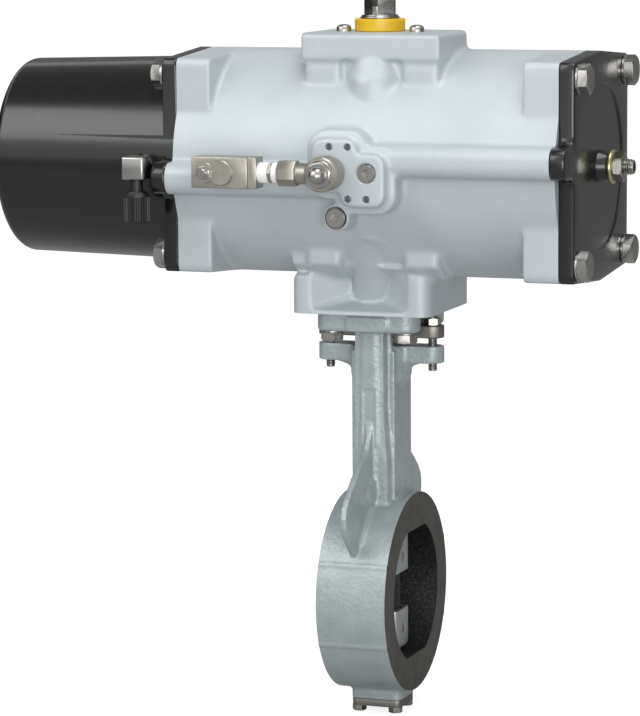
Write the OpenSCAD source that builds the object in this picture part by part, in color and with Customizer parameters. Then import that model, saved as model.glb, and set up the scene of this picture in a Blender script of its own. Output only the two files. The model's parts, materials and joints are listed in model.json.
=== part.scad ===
// Pneumatic butterfly valve: a wafer valve with a spring-return piston actuator.
// Frame: the origin is the centre of the flow opening, +X runs along the pipe
// towards the plain end cover, +Z runs up the stem, -Y is the side with the air ports.

/* [Valve body] */
// Outside diameter of the wafer ring
ring_d = 129; // [126:0.5:133]
// Distance between the two pipe faces
face_to_face = 46; // [44:1:52]
// Diameter of the flow opening
opening_d = 90.6; // [88:0.2:93]
// Distance between the flats at the top and bottom of the opening
opening_flats = 82; // [81.4:0.2:86]
// Half width of the neck along the pipe
neck_half_x = 14.6; // [13.5:0.1:17]
// Thickness of the curved fin that carries the neck on the ring
fin_t = 7; // [4:0.5:10]
// Height of the actuator mounting face above the bore centre
mount_face_z = 184; // [180:1:200]
// Thickness of the two mounting lugs under the actuator
lug_t = 12; // [9:0.5:13]

/* [Stem and disc] */
// Diameter of the stem
stem_d = 16; // [14:0.5:17]
// Square across flats at the top of the stem
drive_square = 11; // [9:0.5:11]
// Radius of the ball surface ground on the rim of the disc
disc_ball_r = 40.16; // [38:0.02:40.3]
// Thickness of the disc plate
disc_t = 8; // [6:0.5:9]
// Width of the two stem hubs on the disc
hub_w = 26; // [22:0.5:28]

/* [Gland and bottom cover] */
// Distance between the two gland studs
gland_pitch = 69.2; // [68:0.2:71]
// Diameter of the gland studs
gland_stud_d = 6; // [5:0.5:6]
// Thickness of the gland plate
gland_plate_t = 8; // [5:0.5:8]
// Length of the bottom cover along the pipe
bottom_cover_x = 33.2; // [31:0.2:36]
// Width of the bottom cover across the pipe
bottom_cover_y = 29.4; // [28:0.2:32]

/* [Actuator cylinder] */
// Height of the cylinder axis above the mounting face
axis_above_mount = 94; // [92:1:104]
// Outside diameter of the cylinder
cylinder_d = 144; // [142:1:150]
// Wall between the cylinder bore and its outside
cylinder_wall = 9.5; // [8:0.5:11]
// End of the body on the spring side
body_left_x = -114; // [-120:1:-112]
// End of the body on the plain side
body_right_x = 135.7; // [132:0.1:142]
// Thickness of the flanges cast on both ends of the body
flange_t = 22.7; // [18:0.1:26]
// How far the cylinder stands proud of the front of its flanges
cylinder_proud = 8; // [6:0.5:9]
// Thickness of the end cover plates
cover_t = 10; // [8:0.5:12]
// Distance from the cover bolts to the front of the flange
cover_bolt_edge = 9; // [8.5:0.5:11]

/* [Spring housing] */
// Length of the spring housing beyond its flange
housing_len = 119; // [110:1:135]
// How much the radius of the spring housing tapers towards its closed end
housing_taper = 3; // [1:0.5:5]
// Wall of the spring housing
housing_wall = 4; // [3:0.5:5]
// Diameter of the spring wire
spring_wire_d = 8; // [5:0.5:9]
// Number of coils in the spring
spring_coils = 7; // [5:1:9]

/* [Pistons and output shaft] */
// Teeth of the pinion on the output shaft
pinion_teeth = 20; // [18:1:21]
// Tooth module of the pinion and the racks
tooth_module = 2; // [1.9:0.05:2]
// Thickness of the piston heads
piston_t = 18; // [15:0.5:20]
// Height of the rack arms
rack_h = 28; // [22:1:30]
// Diameter of the output shaft above the body
shaft_top_d = 20.4; // [18:0.2:22]
// Height of the output shaft above the top pad
shaft_rise = 20; // [18:0.5:26]
// Outside diameter of the thrust ring on the top pad
thrust_ring_d = 32.6; // [30:0.2:36]

/* [Air ports] */
// Distance between the two air ports
port_pitch = 24; // [23:0.5:25]
// Height distance between the two rows of solenoid screws
pilot_pitch = 32; // [31:0.5:33]
// Place of the port pad along the body
pad_x = 9.4; // [8:0.2:11]
// Front face of the port pad
pad_front_y = -92; // [-94:0.5:-91]
// Length of the speed controller block
controller_len = 40; // [36:1:44]
// Height of the speed controller block
controller_h = 19.6; // [17:0.2:20]
// Radius of the threaded air inlet
inlet_r = 5.7; // [5:0.1:6.2]

/* [Hidden] */
$fn = 72;
fit = 0.05;
ring_r = ring_d / 2;
face_x = face_to_face / 2;
stem_r = stem_d / 2;
axis_z = mount_face_z + axis_above_mount;
cyl_r = cylinder_d / 2;
bore_r = cyl_r - cylinder_wall;
flange_half_y = cyl_r - cylinder_proud;
flange_corner_z = flange_half_y + 3.5;
flange_peak_z = flange_half_y + 8;
cover_bolt_y = flange_half_y - cover_bolt_edge;
cover_bolt_z = flange_corner_z - cover_bolt_edge - 1.3;
housing_r = bore_r + housing_wall;
housing_end_r = housing_r - housing_taper;

// Seat side of the valve
seat_x = -face_x + 6;
seat_t = 5.5;
seat_r = opening_d / 2 + 1.7;
retainer_r = ring_r - 8.5;
retainer_screw_r = (seat_r + retainer_r) / 2;
disc_left_x = -face_x + 6;
ball_gap = 0.3;

// Neck
arm_z = mount_face_z - 34.5;
arm_t = 11.5;
neck_top_z = arm_z + arm_t;
gland_floor_z = neck_top_z - 15;
leg_front_y = 24.7;
leg_half_x = neck_half_x - 2.4;
yoke_pitch = 49.5;
yoke_bolt_r = 4;
gland_bottom_z = neck_top_z + 5;

// Actuator
bottom_pad_z = -axis_above_mount;
top_pad_z = 83;
top_pad_x = 2.3;
pitch_r = pinion_teeth * tooth_module / 2;
stroke = pitch_r * PI / 2;
piston_face_x = 45;
lower_journal_r = 18;
upper_journal_r = 13;
bush_t = 3;
ring_groove = 3.6;
cover_left_x = body_left_x - cover_t;
cover_right_x = body_right_x + cover_t;
housing_end_x = cover_left_x - housing_len;
nose_z = 7;
nose_y = flange_half_y + 22;
mid_x = (body_left_x + body_right_x) / 2;
shoulder_y = cyl_r * sin(45);
shoulder_z = 61;
shoulder_half = 44;
shoulder_gap = 20.3;
tongue_r = 16;
stop_tip_x = piston_face_x + piston_t + stroke + 0.3;
spring_r = 40;
spring_seat_t = 3;
breather_x = cover_left_x - 9.5;
elbow_back_y = -housing_r - 10.5;

// Helpers

module rod_x(r, x0, x1) {
  translate([x0, 0, 0])
    rotate([0, 90, 0])
      cylinder(r = r, h = x1 - x0);
}

module rod_y(r, y0, y1) {
  translate([0, y1, 0])
    rotate([90, 0, 0])
      cylinder(r = r, h = y1 - y0);
}

module rod_z(r, z0, z1) {
  translate([0, 0, z0])
    cylinder(r = r, h = z1 - z0);
}

// Hexagonal prisms, sized across the flats
module hex_x(af, x0, x1) {
  translate([x0, 0, 0])
    rotate([0, 90, 0])
      cylinder(r = af / sqrt(3), h = x1 - x0, $fn = 6);
}

module hex_y(af, y0, y1) {
  translate([0, y1, 0])
    rotate([90, 0, 0])
      cylinder(r = af / sqrt(3), h = y1 - y0, $fn = 6);
}

module hex_z(af, z0, z1) {
  translate([0, 0, z0])
    cylinder(r = af / sqrt(3), h = z1 - z0, $fn = 6);
}

// A profile drawn in Y and Z, pulled along X
module along_x(x0, x1) {
  translate([x0, 0, 0])
    rotate([90, 0, 90])
      linear_extrude(height = x1 - x0)
        children();
}

// A profile drawn in X and Z, pulled along Y
module along_y(y0, y1) {
  translate([0, y1, 0])
    rotate([90, 0, 0])
      linear_extrude(height = y1 - y0)
        children();
}

module along_z(z0, z1) {
  translate([0, 0, z0])
    linear_extrude(height = z1 - z0)
      children();
}

// Rectangle with round corners
module round_rect(w, h, r) {
  square([w - 2 * r, h], center = true);
  square([w, h - 2 * r], center = true);
  for (sx = [-1, 1], sy = [-1, 1])
    translate([sx * (w / 2 - r), sy * (h / 2 - r)])
      circle(r = r);
}

// Slot with round ends, w is its full length
module stadium(w, h) {
  square([w - h, h], center = true);
  for (s = [-1, 1])
    translate([s * (w - h) / 2, 0])
      circle(d = h);
}

module at_corners(dx, dy) {
  for (sx = [-1, 1], sy = [-1, 1])
    translate([sx * dx, sy * dy, 0])
      children();
}

module both_sides_y() {
  children();
  mirror([0, 1, 0])
    children();
}

module at_axis() {
  translate([0, 0, axis_z])
    children();
}

// Valve body

// Points on a cubic curve from a to d, drawn towards b and c
function curve(a, b, c, d) = [
  for (i = [0:8])
    let (t = i / 8, u = 1 - t)
      u ^ 3 * a + 3 * u ^ 2 * t * b + 3 * u * t ^ 2 * c + t ^ 3 * d];

// Outline of the curved fin, seen along the pipe: a hollow beside the neck, then a round ear
module fin_outline() {
  ear_y = ring_r + 6.5;
  hollow = curve([14.5, 120], [16, 105], [25, 99], [40, 91]);
  ear = curve([40, 91], [57, 83], [ear_y, 78], [ear_y, 60]);
  heel = curve([ear_y, 60], [ear_y, 50], [63, 44], [48, 36]);
  half = concat([[0, 20]], [[0, 120]], hollow, ear, heel);
  for (s = [-1, 1])
    scale([s, 1])
      polygon(half);
}

// Web under a gland arm, with a round hollow
module arm_web() {
  along_y(-6, 6)
    difference() {
      translate([13, arm_z - 11])
        square([13, 13]);
      translate([26.5, arm_z - 11.5])
        circle(r = 10.5);
    }
}

module neck() {
  along_z(40, neck_top_z)
    round_rect(2 * neck_half_x, 30, 4);
  rod_z(19.5, arm_z - 9, neck_top_z);
  translate([0, 0, arm_z - 15])
    cylinder(r1 = 15, r2 = 19.5, h = 6.1);
  both_sides_y() {
    translate([-leg_half_x, -leg_front_y, 50])
      cube([2 * leg_half_x, leg_front_y - 13.5, mount_face_z - 50]);
    // Ridge down the front of each leg, wider at its foot
    along_y(-leg_front_y - 1.2, -leg_front_y + 2)
      polygon([[-4.5, mount_face_z - lug_t - 1], [4.5, mount_face_z - lug_t - 1], [5.5, 98], [-5.5, 98]]);
  }
  // Arms for the gland studs
  along_z(arm_z, neck_top_z)
    stadium(gland_pitch + 15, 16);
  arm_web();
  mirror([1, 0, 0])
    arm_web();
}

module mounting_lugs() {
  both_sides_y()
    translate([0, -24.5, 0])
      along_z(mount_face_z - lug_t, mount_face_z)
        round_rect(yoke_pitch + 17.5, 21, 9);
  // Cast tab in the middle of each lug
  both_sides_y()
    along_y(-36.2, -30)
      translate([2, mount_face_z - 7])
        round_rect(27, 9, 2);
}

module flow_opening(x0, x1) {
  along_x(x0, x1)
    intersection() {
      circle(r = opening_d / 2, $fn = 120);
      square([opening_d + 10, opening_flats], center = true);
    }
}

module valve_body() {
  color("silver")
    difference() {
      union() {
        rod_x(ring_r, -face_x, face_x, $fn = 144);
        translate([-face_x, -ring_r + 4.7, -27])
          cube([2 * face_x, 2 * ring_r - 9.4, 54]);
        along_x(-fin_t / 2, fin_t / 2)
          fin_outline();
        neck();
        mounting_lugs();
        along_z(-70, -50)
          round_rect(bottom_cover_x + 0.8, bottom_cover_y + 0.8, 4);
      }
      flow_opening(seat_x + seat_t, face_x + 1);
      rod_x(seat_r, seat_x, seat_x + seat_t + 0.01, $fn = 120);
      rod_x(retainer_r, -face_x - 1, seat_x, $fn = 120);
      for (a = [45:90:315])
        rotate([a, 0, 0])
          translate([0, 0, retainer_screw_r])
            rod_x(2 + fit, seat_x - 1, seat_x + 8);
      // Stem bore, bush pockets and packing chamber
      rod_z(stem_r + 0.5, -71, neck_top_z + 1);
      rod_z(stem_r + 2.6, -71, -30);
      rod_z(stem_r + 2.6, 30, 72);
      rod_z(stem_r + 5, gland_floor_z, neck_top_z + 1);
      for (s = [-1, 1])
        translate([s * gland_pitch / 2, 0, 0])
          rod_z(gland_stud_d / 2 + fit, arm_z - 10, neck_top_z + 1);
      at_corners(yoke_pitch / 2, yoke_pitch / 2)
        rod_z(yoke_bolt_r + 0.4, mount_face_z - lug_t - 1, mount_face_z + 1);
      at_corners(bottom_cover_x / 2 - 4.3, bottom_cover_y / 2 - 3.7)
        rod_z(2.5 + fit, -71, -62);
    }
}

module seat_ring() {
  color("ivory")
    difference() {
      rod_x(seat_r - fit, seat_x + 0.05, seat_x + seat_t - 0.05, $fn = 120);
      sphere(r = disc_ball_r + ball_gap, $fn = 144);
    }
}

module seat_retainer() {
  color("dimgray")
    difference() {
      rod_x(retainer_r - fit, -face_x, seat_x, $fn = 120);
      rod_x(disc_ball_r - 1.2, -face_x - 1, seat_x + 1, $fn = 120);
      for (a = [45:90:315])
        rotate([a, 0, 0])
          translate([0, 0, retainer_screw_r]) {
            rod_x(2.2, -face_x - 1, seat_x + 1);
            rod_x(3.7, -face_x - 1, -face_x + 2.5);
          }
    }
}

module retainer_screws() {
  color("silver")
    for (a = [45:90:315])
      rotate([a, 0, 0])
        translate([0, 0, retainer_screw_r])
          difference() {
            union() {
              rod_x(3.5, -face_x + 0.2, -face_x + 2.5);
              rod_x(2, -face_x + 2.5, seat_x + 7);
            }
            hex_x(2.5, -face_x, -face_x + 1.6);
          }
}

module stem_bush(z0, z1) {
  difference() {
    rod_z(stem_r + 2.55, z0, z1);
    rod_z(stem_r + fit, z0 - 1, z1 + 1);
  }
}

module upper_stem_bush() {
  color("goldenrod")
    stem_bush(43, 71.5);
}

module lower_stem_bush() {
  color("goldenrod")
    stem_bush(-69, -43);
}

module stem_packing() {
  color("whitesmoke")
    for (i = [0:2])
      difference() {
        rod_z(stem_r + 4.95, gland_floor_z + 0.05 + i * 3.7, gland_floor_z + 3.7 + i * 3.7);
        rod_z(stem_r + fit, gland_floor_z - 1, gland_floor_z + 20);
      }
}

module gland_follower() {
  color("gray")
    difference() {
      rod_z(stem_r + 4.8, gland_floor_z + 11.2, gland_bottom_z);
      rod_z(stem_r + 0.3, gland_floor_z, gland_bottom_z + 1);
    }
}

module gland_plate() {
  color("gray")
    difference() {
      along_z(gland_bottom_z, gland_bottom_z + gland_plate_t) {
        stadium(gland_pitch + 15, 15);
        circle(r = 13);
      }
      rod_z(stem_r + 0.6, gland_bottom_z - 1, gland_bottom_z + gland_plate_t + 1);
      for (s = [-1, 1])
        translate([s * gland_pitch / 2, 0, 0])
          rod_z(gland_stud_d / 2 + 0.2, gland_bottom_z - 1, gland_bottom_z + gland_plate_t + 1);
    }
}

module gland_studs() {
  color("silver")
    for (s = [-1, 1])
      translate([s * gland_pitch / 2, 0, 0])
        rod_z(gland_stud_d / 2, arm_z - 5, gland_bottom_z + gland_plate_t + 8.5);
}

module gland_nuts() {
  color("silver")
    for (s = [-1, 1])
      translate([s * gland_pitch / 2, 0, 0])
        difference() {
          hex_z(gland_stud_d * 1.66, gland_bottom_z + gland_plate_t, gland_bottom_z + gland_plate_t + 4.8);
          rod_z(gland_stud_d / 2 + fit, gland_bottom_z, gland_bottom_z + gland_plate_t + 6);
        }
}

module bottom_cover() {
  color("gray")
    difference() {
      along_z(-75, -70.5)
        round_rect(bottom_cover_x, bottom_cover_y, 3.5);
      at_corners(bottom_cover_x / 2 - 4.3, bottom_cover_y / 2 - 3.7)
        rod_z(2.7, -76, -70);
    }
}

module bottom_gasket() {
  color("dimgray")
    difference() {
      along_z(-70.5, -70)
        round_rect(bottom_cover_x, bottom_cover_y, 3.5);
      at_corners(bottom_cover_x / 2 - 4.3, bottom_cover_y / 2 - 3.7)
        rod_z(2.7, -71, -69);
      rod_z(stem_r + 1.5, -71, -69);
    }
}

module bottom_cover_bolts() {
  color("silver")
    at_corners(bottom_cover_x / 2 - 4.3, bottom_cover_y / 2 - 3.7) {
      hex_z(8, -78.6, -75);
      rod_z(2.5, -75.5, -62.5);
    }
}

module yoke_bolts() {
  color("silver")
    at_corners(yoke_pitch / 2, yoke_pitch / 2) {
      hex_z(13, mount_face_z - lug_t - 6.9, mount_face_z - lug_t - 1.5);
      rod_z(yoke_bolt_r, mount_face_z - lug_t - 2, mount_face_z + 13);
    }
}

module yoke_washers() {
  color("gainsboro")
    at_corners(yoke_pitch / 2, yoke_pitch / 2)
      difference() {
        rod_z(6.6, mount_face_z - lug_t - 1.5, mount_face_z - lug_t);
        rod_z(yoke_bolt_r + 0.2, mount_face_z - lug_t - 2, mount_face_z);
      }
}

// Stem and disc

module stem() {
  color("lightgray")
    difference() {
      union() {
        rod_z(stem_r, -68, mount_face_z - 2);
        translate([-drive_square / 2, -drive_square / 2, mount_face_z - 2])
          cube([drive_square, drive_square, 24]);
      }
      for (z = [-25, 22.5])
        translate([0, 0, z])
          rod_x(3 + fit, -20, 20);
    }
}

module disc() {
  color("lightgray")
    difference() {
      intersection() {
        sphere(r = disc_ball_r, $fn = 144);
        union() {
          translate([disc_left_x, -60, -60])
            cube([disc_t, 120, 120]);
          for (z = [-37.5, 12])
            translate([0, 0, z])
              along_z(0, 25.5)
                translate([(disc_left_x + disc_t + stem_r + 6) / 2 - 0.5, 0])
                  round_rect(stem_r + 7 - disc_left_x - disc_t, hub_w, 3);
          rod_z(stem_r + 3.5, -13, 13);
        }
      }
      rod_z(stem_r + 0.02, -60, 60);
      for (z = [-25, 22.5])
        translate([0, 0, z])
          rod_x(3 + fit, disc_left_x + 3, 30);
    }
}

module disc_pins() {
  color("silver")
    for (z = [-25, 22.5])
      translate([0, 0, z])
        rod_x(3, disc_left_x + 3.5, stem_r + 5.8);
}

// Actuator body

// Section of the air channel rib, its nose points to -Y
module nose_outline(z) {
  translate([-nose_y, z]) {
    translate([8, -2])
      square([nose_y - flange_half_y + 4, 4]);
    translate([15, 0])
      round_rect(30, 20, 8);
  }
  for (s = [-1, 1])
    translate([-nose_y + 16, z + s * 16])
      difference() {
        translate([0, s > 0 ? -6 : 0])
          square([6, 6]);
        circle(r = 6);
      }
}

module flange_outline(z) {
  intersection() {
    polygon([
      [-flange_half_y, -flange_corner_z], [0, -flange_peak_z], [flange_half_y, -flange_corner_z],
      [flange_half_y, flange_corner_z], [0, flange_peak_z], [-flange_half_y, flange_corner_z]]);
    round_rect(2 * flange_half_y, 2 * flange_peak_z, 10);
  }
  nose_outline(z);
}

// Two overlapping lobes of the port pad, grown by g
module port_pad_outline(g) {
  for (s = [-1, 1])
    translate([pad_x - s * 9, s * 4.6])
      round_rect(29.6 + 2 * g, 32.8 + 2 * g, 8 + g);
}

// Section of the top shoulders, from the front to the back of the cylinder
module top_shoulder_outline() {
  square_top = shoulder_z + 0.5;
  translate([-shoulder_y, 20])
    square([2 * shoulder_y, square_top - 20]);
  translate([-shoulder_y + 4, 20])
    square([2 * shoulder_y - 8, square_top - 16]);
  for (s = [-1, 1])
    translate([s * (shoulder_y - 4), square_top])
      circle(r = 4);
}

// Section of the bottom shoulders: undercut towards the pad
module bottom_shoulder_outline() {
  polygon([
    [-shoulder_y, -20], [-shoulder_y, -shoulder_z], [-shoulder_y + 2, -shoulder_z - 2], [-36, -70.5],
    [36, -70.5], [shoulder_y - 2, -shoulder_z - 2], [shoulder_y, -shoulder_z], [shoulder_y, -20]]);
}

// Plan of the four shoulders, which stand clear of the tongues between them
module shoulder_plan() {
  for (s = [-1, 1])
    translate([mid_x + s * (shoulder_half + shoulder_gap) / 2, 0])
      round_rect(shoulder_half - shoulder_gap, 2 * shoulder_y + 0.02, 4);
}

// Plan of one tongue with its hollow corners, on the front side
module tongue_plan() {
  tongue_y = -cyl_r + 12.5 + tongue_r;
  translate([mid_x, tongue_y])
    circle(r = tongue_r);
  translate([mid_x - tongue_r, tongue_y])
    square([2 * tongue_r, 22]);
  difference() {
    translate([mid_x - shoulder_gap - 2, tongue_y - 3])
      square([2 * shoulder_gap + 4, 20]);
    for (s = [-1, 1])
      translate([mid_x + s * (tongue_r + 4.4), tongue_y - 3])
        circle(r = 4.4);
  }
}

module top_shoulders() {
  intersection() {
    along_z(20, 80)
      shoulder_plan();
    along_x(body_left_x, body_right_x)
      top_shoulder_outline();
  }
  // Tongues, which slope up to the pad
  both_sides_y()
    intersection() {
      along_z(20, 80)
        tongue_plan();
      along_x(body_left_x, body_right_x)
        polygon([[-cyl_r, 20], [-cyl_r, 52], [-55, 57], [-27, 68], [-10, 68], [-10, 20]]);
    }
}

module bottom_shoulders() {
  intersection() {
    along_z(-80, -20)
      shoulder_plan();
    along_x(body_left_x, body_right_x)
      bottom_shoulder_outline();
  }
  both_sides_y()
    intersection() {
      along_z(-80, -20)
        tongue_plan();
      along_x(body_left_x, body_right_x)
        polygon([[-cyl_r, -20], [-cyl_r, -52], [-48, -60], [-26, -70.2], [-10, -70.2], [-10, -20]]);
    }
}

module top_pad() {
  translate([top_pad_x, 1, 0])
    along_z(60, top_pad_z)
      round_rect(90.4, 57, 6);
  top_shoulders();
}

// Room of one pocket in the bottom pad: it narrows to the shaft boss and its floor rises
module pocket_room() {
  intersection() {
    along_z(bottom_pad_z, -60)
      polygon([[-33, -50], [33, -50], [33, -44], [10.7, -25.6], [-10.7, -25.6], [-33, -44]]);
    along_x(-40, 40)
      polygon([
        [-51, bottom_pad_z + 3], [-43, bottom_pad_z + 3], [-28, bottom_pad_z + 9.4], [-20, bottom_pad_z + 11],
        [-20, -60], [-51, -60]]);
    along_y(-51, -20)
      translate([0, bottom_pad_z + 25])
        round_rect(66, 44, 5);
  }
}

module bottom_pad() {
  pad_top_z = 3 - cyl_r;
  difference() {
    intersection() {
      along_z(bottom_pad_z, pad_top_z)
        round_rect(yoke_pitch + 42.5, yoke_pitch + 38.5, 8);
      along_y(-60, 60)
        translate([0, bottom_pad_z])
          round_rect(yoke_pitch + 42.6, 2 * (pad_top_z - bottom_pad_z), 5);
    }
    both_sides_y()
      pocket_room();
  }
  rod_z(28, bottom_pad_z + 0.5, -40);
  // Webs between the pad and the cylinder
  for (s = [-1, 1])
    translate([s * 28 - 16, 0, 0])
      along_x(0, 32)
        polygon([[-47, -40], [-47, -62], [-34, -70], [34, -70], [47, -62], [47, -40]]);
  bottom_shoulders();
}

module actuator_body() {
  color("lightsteelblue")
    at_axis()
      difference() {
        union() {
          rod_x(cyl_r, body_left_x, body_right_x, $fn = 144);
          along_x(body_left_x, body_left_x + flange_t)
            flange_outline(-nose_z);
          along_x(body_right_x - flange_t, body_right_x)
            flange_outline(nose_z);
          along_x(body_left_x + 1, pad_x - 15)
            nose_outline(-nose_z);
          along_x(pad_x + 12, body_right_x - 1)
            nose_outline(nose_z);
          along_y(pad_front_y, -60)
            port_pad_outline(0);
          along_y(pad_front_y + 7, -60)
            port_pad_outline(5);
          translate([-1, 0, -28.5])
            rod_y(8.8, -84, -60);
          top_pad();
          bottom_pad();
        }
        rod_x(bore_r, body_left_x - 1, body_right_x + 1, $fn = 144);
        rod_z(lower_journal_r + bush_t + 0.1, bottom_pad_z - 1, -50);
        rod_z(upper_journal_r + bush_t + 0.1, 50, top_pad_z + 1);
        at_corners(yoke_pitch / 2, yoke_pitch / 2)
          rod_z(yoke_bolt_r + fit, bottom_pad_z - 1, bottom_pad_z + 14);
        at_cover_bolts()
          rod_x(5 + fit, body_left_x - 1, body_left_x + 18);
        at_cover_bolts()
          rod_x(5 + fit, body_right_x - 18, body_right_x + 1);
        port_holes();
      }
}

module at_cover_bolts() {
  for (sy = [-1, 1], sz = [-1, 1])
    translate([0, sy * cover_bolt_y, sz * cover_bolt_z])
      children();
}

module port_holes() {
  translate([pad_x, 0, 0]) {
    for (s = [-1, 1]) {
      translate([s * port_pitch / 2, 0, 0])
        rod_y(5.8, pad_front_y - 1, pad_front_y + 12);
      translate([s * port_pitch / 2, 0, 0])
        rod_y(3, pad_front_y, s < 0 ? -bore_r + 2 : pad_front_y + 18);
    }
    for (p = [[-port_pitch / 2, 1], [0, 1], [0, -1], [port_pitch / 2, -1]])
      translate([p[0], 0, p[1] * pilot_pitch / 2])
        rod_y(2.1, pad_front_y - 1, pad_front_y + 9);
  }
  // Long air channels in the ribs
  translate([0, -76, nose_z])
    rod_x(3, pad_x + 8, body_right_x + 1);
  translate([-1, 0, -28.5])
    rod_y(7.2, -85, -80);
  translate([-1, 0, -28.5])
    rod_y(4.6 + fit, -85, -70);
  translate([top_pad_x + 0.5, -8, 0])
    for (s = [-1, 1])
      translate([s * 24.3, 0, 0])
        rod_z(2.5 + fit, top_pad_z - 10, top_pad_z + 1);
}

module lower_shaft_bush() {
  color("goldenrod")
    at_axis()
      difference() {
        rod_z(lower_journal_r + bush_t, bottom_pad_z + 1, bottom_pad_z + 26);
        rod_z(lower_journal_r + fit, bottom_pad_z, bottom_pad_z + 27);
      }
}

module upper_shaft_bush() {
  color("goldenrod")
    at_axis()
      difference() {
        rod_z(upper_journal_r + bush_t, top_pad_z - 20, top_pad_z);
        rod_z(upper_journal_r + fit, top_pad_z - 21, top_pad_z + 1);
      }
}

// Output shaft with its pinion

function inv_angle(r, rb) = sqrt((r / rb) ^ 2 - 1) * 180 / PI - acos(rb / r);

module pinion_outline() {
  rb = pitch_r * cos(20);
  ra = pitch_r + tooth_module;
  rf = pitch_r - 1.25 * tooth_module;
  half = 90 / pinion_teeth - 0.2;
  pitch_inv = inv_angle(pitch_r, rb);
  radii = [for (i = [0:4]) rb + 0.01 + (ra - rb - 0.01) * i / 4];
  flank = [for (r = radii) [r, half + pitch_inv - inv_angle(r, rb)]];
  tooth = concat([[rf, flank[0][1] + 0.5]], flank);
  rising = [for (p = tooth) [p[0], -p[1]]];
  falling = [for (i = [len(tooth) - 1:-1:0]) tooth[i]];
  profile = concat(rising, falling);
  polygon([
    for (k = [0:pinion_teeth - 1], p = profile)
      let (a = p[1] + k * 360 / pinion_teeth + (pinion_teeth % 4 == 0 ? 0 : 90))
        [p[0] * cos(a), p[0] * sin(a)]]);
}

module output_shaft() {
  color("silver")
    at_axis()
      difference() {
        union() {
          rod_z(lower_journal_r, bottom_pad_z + 0.2, -rack_h / 2 - 2);
          along_z(-rack_h / 2 - 2, rack_h / 2 + 2)
            pinion_outline();
          rod_z(upper_journal_r, rack_h / 2 + 2, top_pad_z + 1);
          rod_z(shaft_top_d / 2, top_pad_z + 1, top_pad_z + shaft_rise);
        }
        // Square socket for the stem
        translate([-drive_square / 2 - fit, -drive_square / 2 - fit, bottom_pad_z - 1])
          cube([drive_square + 2 * fit, drive_square + 2 * fit, 26]);
        // Milled flats and slot at the top
        for (s = [0, 180])
          rotate([0, 0, s])
            translate([shaft_top_d * 0.38, -20, top_pad_z + 10])
              cube([20, 40, 40]);
        translate([-2, -20, top_pad_z + shaft_rise - 5])
          cube([4, 40, 10]);
        difference() {
          rod_z(shaft_top_d / 2 + 1, top_pad_z + 9.2, top_pad_z + 10.4);
          rod_z(shaft_top_d / 2 - 0.8, top_pad_z + 9, top_pad_z + 11);
        }
      }
}

module thrust_ring() {
  color("gold")
    at_axis()
      difference() {
        rod_z(thrust_ring_d / 2, top_pad_z, top_pad_z + 8);
        rod_z(upper_journal_r + 0.3, top_pad_z - 1, top_pad_z + 1.3);
        rod_z(shaft_top_d / 2 + 0.08, top_pad_z - 1, top_pad_z + 9);
      }
}

module shaft_washer() {
  color("silver")
    at_axis()
      difference() {
        rod_z(shaft_top_d / 2 + 2.3, top_pad_z + 8.3, top_pad_z + 9.2);
        rod_z(shaft_top_d / 2 + fit, top_pad_z + 8, top_pad_z + 10);
      }
}

module shaft_clip() {
  color("gray")
    at_axis()
      difference() {
        rod_z(shaft_top_d / 2 + 1.4, top_pad_z + 9.25, top_pad_z + 10.35);
        rod_z(shaft_top_d / 2 - 0.75, top_pad_z + 9, top_pad_z + 11);
        translate([-30, -2, top_pad_z + 8])
          cube([30 - shaft_top_d / 4, 4, 4]);
      }
}

// Pistons, drawn for the plain side with the rack in front

module rack_teeth() {
  pitch = PI * tooth_module;
  half = pitch / 4 - 0.12;
  tip = tooth_module * tan(20);
  foot = 1.25 * tooth_module * tan(20);
  for (k = [-7:1])
    translate([(k + 0.5) * pitch, -pitch_r])
      polygon([
        [-half - foot, -1.25 * tooth_module - 0.1], [half + foot, -1.25 * tooth_module - 0.1],
        [half - tip, tooth_module], [-half + tip, tooth_module]]);
}

module piston() {
  root_y = -pitch_r - 1.25 * tooth_module;
  difference() {
    union() {
      rod_x(bore_r - 0.4, piston_face_x, piston_face_x + piston_t, $fn = 120);
      along_z(-rack_h / 2, rack_h / 2) {
        translate([-43.5, root_y - 14])
          square([43.5 + piston_face_x + 1, 14]);
        rack_teeth();
      }
    }
    piston_groove(piston_face_x + 4, 4);
    piston_groove(piston_face_x + 11, 5);
  }
}

module piston_groove(x, w) {
  difference() {
    rod_x(bore_r + 1, x, x + w, $fn = 120);
    rod_x(bore_r - ring_groove, x - 1, x + w + 1, $fn = 120);
  }
}

module piston_ring(x, w, r) {
  difference() {
    rod_x(r, x + fit, x + w - fit, $fn = 120);
    rod_x(bore_r - ring_groove + fit, x - 1, x + w + 1, $fn = 120);
  }
}

module left_side() {
  at_axis()
    rotate([0, 0, 180])
      children();
}

module left_piston() {
  color("darkgray")
    left_side()
      piston();
}

module left_piston_seal() {
  color("black")
    left_side()
      piston_ring(piston_face_x + 4, 4, bore_r - 0.1);
}

module left_piston_band() {
  color("beige")
    left_side()
      piston_ring(piston_face_x + 11, 5, bore_r - 0.1);
}

module right_piston() {
  color("darkgray")
    at_axis()
      piston();
}

module right_piston_seal() {
  color("black")
    at_axis()
      piston_ring(piston_face_x + 4, 4, bore_r - 0.1);
}

module right_piston_band() {
  color("beige")
    at_axis()
      piston_ring(piston_face_x + 11, 5, bore_r - 0.1);
}

// Spring side

spring_start_x = piston_face_x + piston_t + 0.1;
spring_end_x = -housing_end_x - housing_wall - spring_seat_t - 0.1;

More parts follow.
